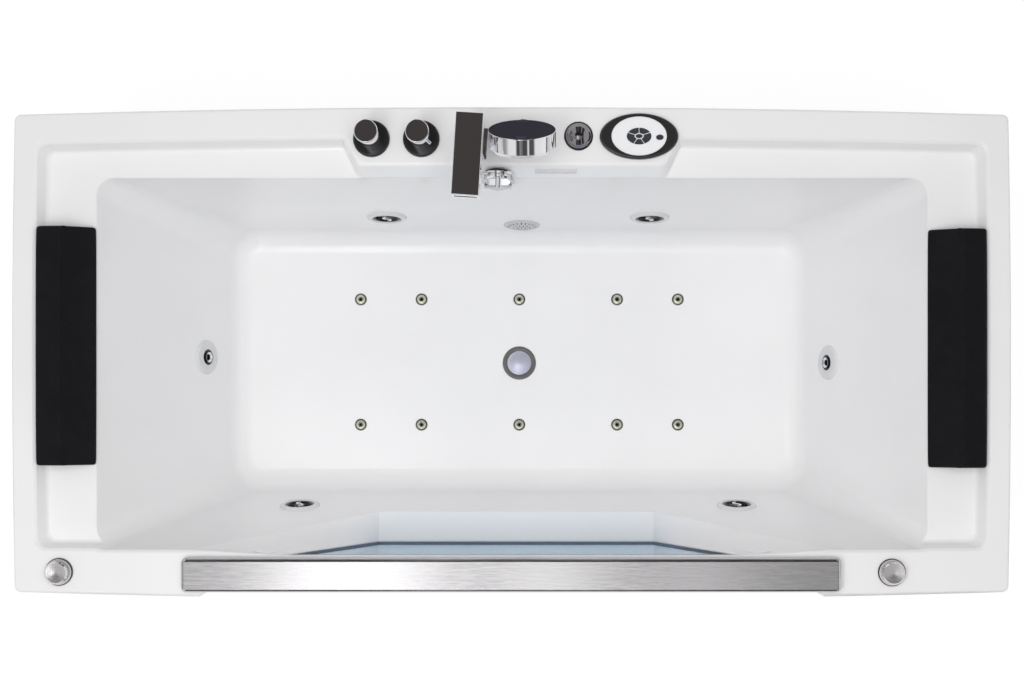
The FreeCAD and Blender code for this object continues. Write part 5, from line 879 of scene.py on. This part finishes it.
def hose_clamps_tree(finish):
    """A band and its worm housing round a hose at each place, as large as the hose."""
    tree, entry, leave = new_detail("hose_clamps", [("Band width", FLOAT, 0.6),
                                                    ("Band thickness", FLOAT, 0.07)])
    circle = add_node(tree, "GeometryNodeCurvePrimitiveCircle", Resolution=12)
    profile = add_node(tree, "GeometryNodeCurvePrimitiveQuadrilateral")
    band = add_node(tree, "GeometryNodeCurveToMesh")
    housing = add_node(tree, "GeometryNodeMeshCube", Size=(0.30, 0.80, 0.66))
    beside = add_node(tree, "GeometryNodeTransform", Translation=(1.17, 0.0, 0.0))
    both = add_node(tree, "GeometryNodeJoinGeometry")
    axis = add_node(tree, "GeometryNodeInputNamedAttribute", data_type="FLOAT_VECTOR", Name="axis")
    size = add_node(tree, "GeometryNodeInputNamedAttribute", data_type="FLOAT", Name="size")
    along = add_node(tree, "FunctionNodeAlignRotationToVector", axis="Z")
    copies = add_node(tree, "GeometryNodeInstanceOnPoints")
    tree.links.new(maths(tree, "MULTIPLY_ADD", entry.outputs["Band thickness"], 0.5, 1.0),
                   circle.inputs["Radius"])
    link(tree, entry, "Band thickness", profile, "Width")
    link(tree, entry, "Band width", profile, "Height")
    link(tree, circle, "Curve", band, "Curve")
    link(tree, profile, "Curve", band, "Profile Curve")
    link(tree, housing, "Mesh", beside, "Geometry")
    link(tree, band, "Mesh", both, "Geometry")
    link(tree, beside, "Geometry", both, "Geometry")
    link(tree, axis, "Attribute", along, "Vector")
    link(tree, entry, "Places", copies, "Points")
    link(tree, both, "Geometry", copies, "Instance")
    link(tree, along, "Rotation", copies, "Rotation")
    link(tree, size, "Attribute", copies, "Scale")
    end_detail(tree, leave, copies, "Instances", finish)
    return tree


empty_places = place_mesh("no_places", [])
spray_turn = (math.radians(90) + HANDSET_TILT, 0.0, 0.0)
bake_detail("spray_nubs", spray_nubs_tree(key_rubber), {"Place": SPRAY_PLACE[:], "Turn": spray_turn},
            empty_places, key_rubber, "handset_body")
motor_turn = (math.radians(-90), 0.0, 0.0)
bake_detail("motor_fins", cooling_fins_tree(motor_alloy), {"Place": MOTOR_MIDDLE, "Turn": motor_turn},
            empty_places, motor_alloy, "tub")
bake_detail("hose_clamps", hose_clamps_tree(screw_steel), {}, place_mesh("clamp_places", CLAMP_PLACES),
            screw_steel, "tub")


# ================================================================ stage, lights and camera
def ramp_by(tree, source, output, low, high, stops):
    """A colour ramp over a value that runs from low to high. Each stop is (value, level)."""
    share = add_node(tree, "ShaderNodeMapRange")
    share.inputs["From Min"].default_value = low
    share.inputs["From Max"].default_value = high
    ramp = add_node(tree, "ShaderNodeValToRGB")
    link(tree, source, output, share, "Value")
    link(tree, share, "Result", ramp, "Fac")
    elements = ramp.color_ramp.elements
    elements.remove(elements[1])
    for index, (value, level) in enumerate(stops):
        spot = (value - low) / (high - low)
        element = elements[0] if index == 0 else elements.new(spot)
        element.position = spot
        element.color = (*level, 1) if isinstance(level, tuple) else (level, level, level, 1)
    return ramp


def lamp_stops(lamps, dim, softness):
    """Ramp stops for lamps with soft edges on a dim ceiling."""
    stops = []
    for left, right, level in lamps:
        stops += [(left - softness, dim), (left, level), (right, level), (right + softness, dim)]
    return stops


def room_world():
    """Even white room for soft light. Metal also sees dark and bright screens and a dark ceiling."""
    world = bpy.data.worlds.new("studio_room")
    bpy.context.scene.world = world
    world.use_nodes = True
    tree = world.node_tree
    tree.nodes.clear()
    place = add_node(tree, "ShaderNodeTexCoord")
    split = add_node(tree, "ShaderNodeSeparateXYZ")
    link(tree, place, "Generated", split, "Vector")
    screens = ramp_by(tree, split, "X", -1.0, 1.0, ROOM_SCREENS)
    front = ramp_by(tree, split, "X", -0.5, 0.5, lamp_stops(FRONT_LAMPS, FRONT_DIM, LAMP_SOFTNESS))
    to_front = ramp_by(tree, split, "Y", -0.2, 0.1, FRONT_UNTIL)
    overhead = ramp_by(tree, split, "Z", 0.0, 1.0, OVERHEAD_FROM)
    low_down = ramp_by(tree, split, "Z", 0.0, 1.0, LOW_DOWN_UNTIL)
    front_light = add_node(tree, "ShaderNodeVectorMath", operation="SCALE", Scale=FRONT_STRENGTH)
    ceiling = add_node(tree, "ShaderNodeMix", data_type="RGBA")
    ceiling.inputs[6].default_value = (*CEILING_DARK, 1)
    link(tree, to_front, "Color", ceiling, 0)
    link(tree, front, "Color", front_light, 0)
    link(tree, front_light, "Vector", ceiling, 7)
    upper = add_node(tree, "ShaderNodeMix", data_type="RGBA")
    link(tree, overhead, "Color", upper, 0)
    link(tree, screens, "Color", upper, 6)
    tree.links.new(ceiling.outputs[2], upper.inputs[7])
    whole = add_node(tree, "ShaderNodeMix", data_type="RGBA")
    whole.inputs[7].default_value = (ROOM_BRIGHT, ROOM_BRIGHT, ROOM_BRIGHT, 1)
    link(tree, low_down, "Color", whole, 0)
    tree.links.new(upper.outputs[2], whole.inputs[6])
    glossy = add_node(tree, "ShaderNodeBackground", Strength=1.0)
    tree.links.new(whole.outputs[2], glossy.inputs["Color"])
    diffuse = add_node(tree, "ShaderNodeBackground", Color=(1, 0.995, 1.0, 1), Strength=WORLD_DIFFUSE)
    seen = add_node(tree, "ShaderNodeBackground", Color=(1, 1, 1, 1), Strength=1.0)
    rays = add_node(tree, "ShaderNodeLightPath")
    pick_metal = add_node(tree, "ShaderNodeMixShader")
    pick_seen = add_node(tree, "ShaderNodeMixShader")
    either = add_node(tree, "ShaderNodeMath", operation="MAXIMUM")
    out = add_node(tree, "ShaderNodeOutputWorld")
    link(tree, rays, "Is Glossy Ray", pick_metal, 0)
    link(tree, diffuse, "Background", pick_metal, 1)
    link(tree, glossy, "Background", pick_metal, 2)
    link(tree, rays, "Is Camera Ray", either, 0)
    link(tree, rays, "Is Transmission Ray", either, 1)
    link(tree, either, "Value", pick_seen, 0)
    link(tree, pick_metal, "Shader", pick_seen, 1)
    link(tree, seen, "Background", pick_seen, 2)
    link(tree, pick_seen, "Shader", out, "Surface")


def studio_floor():
    """Pale floor that reads as white to the camera and keeps a soft shadow."""
    mesh = bpy.data.meshes.new("studio_floor")
    corners = [(x * FLOOR_REACH, y * FLOOR_REACH, 0) for x, y in ((-1, -1), (1, -1), (1, 1), (-1, 1))]
    mesh.from_pydata(corners, [], [(0, 1, 2, 3)])
    finish = bpy.data.materials.new("studio_floor")
    finish.use_nodes = True
    tree = finish.node_tree
    tree.nodes.clear()
    matt = add_node(tree, "ShaderNodeBsdfDiffuse", Color=(0.86, 0.86, 0.86, 1))
    glow = add_node(tree, "ShaderNodeEmission", Color=(1, 1, 1, 1), Strength=FLOOR_GLOW)
    rays = add_node(tree, "ShaderNodeLightPath")
    either = add_node(tree, "ShaderNodeMath", operation="MAXIMUM")
    any_of_three = add_node(tree, "ShaderNodeMath", operation="MAXIMUM")
    share = add_node(tree, "ShaderNodeMath", operation="MULTIPLY")
    share.inputs[1].default_value = FLOOR_GLOW_SHARE
    mix = add_node(tree, "ShaderNodeMixShader")
    out = add_node(tree, "ShaderNodeOutputMaterial")
    link(tree, rays, "Is Camera Ray", either, 0)
    link(tree, rays, "Is Transmission Ray", either, 1)
    link(tree, either, "Value", any_of_three, 0)
    link(tree, rays, "Is Glossy Ray", any_of_three, 1)
    link(tree, any_of_three, "Value", share, 0)
    link(tree, share, "Value", mix, 0)
    link(tree, matt, "BSDF", mix, 1)
    link(tree, glow, "Emission", mix, 2)
    link(tree, mix, "Shader", out, "Surface")
    mesh_object("studio_floor", mesh, finish)


def softbox(name, place, aim, size, power):
    """Rectangular lamp that lights the part and shows in no mirror. The room does the mirroring."""
    lamp = bpy.data.lights.new(name, "AREA")
    lamp.shape = "RECTANGLE"
    lamp.size, lamp.size_y = size
    lamp.energy = power
    holder = bpy.data.objects.new(name, lamp)
    bpy.context.scene.collection.objects.link(holder)
    holder.location = place
    holder.rotation_euler = (Vector(aim) - Vector(place)).to_track_quat("-Z", "Y").to_euler()
    holder.visible_camera = False
    holder.visible_glossy = False


def picture_camera():
    """The camera of the photograph, with the picture's axis off its middle."""
    camera = bpy.data.cameras.new("photo_camera")
    camera.sensor_width = SENSOR_WIDTH
    camera.lens = FOCAL_PIXELS * SENSOR_WIDTH / PICTURE_WIDTH
    camera.shift_x = (PICTURE_WIDTH / 2 - AXIS_PIXEL[0]) / PICTURE_WIDTH
    camera.shift_y = (AXIS_PIXEL[1] - PICTURE_HEIGHT / 2) / PICTURE_WIDTH
    holder = bpy.data.objects.new("photo_camera", camera)
    holder.location = CAMERA_PLACE
    bpy.context.scene.collection.objects.link(holder)
    bpy.context.scene.camera = holder


room_world()
studio_floor()
softbox("key_softbox", KEY_PLACE, KEY_AIM, KEY_SIZE, KEY_POWER)
softbox("overhead_panel", PANEL_PLACE, PANEL_AIM, PANEL_SIZE, PANEL_POWER)
picture_camera()
bpy.context.scene.view_settings.view_transform = "Standard"
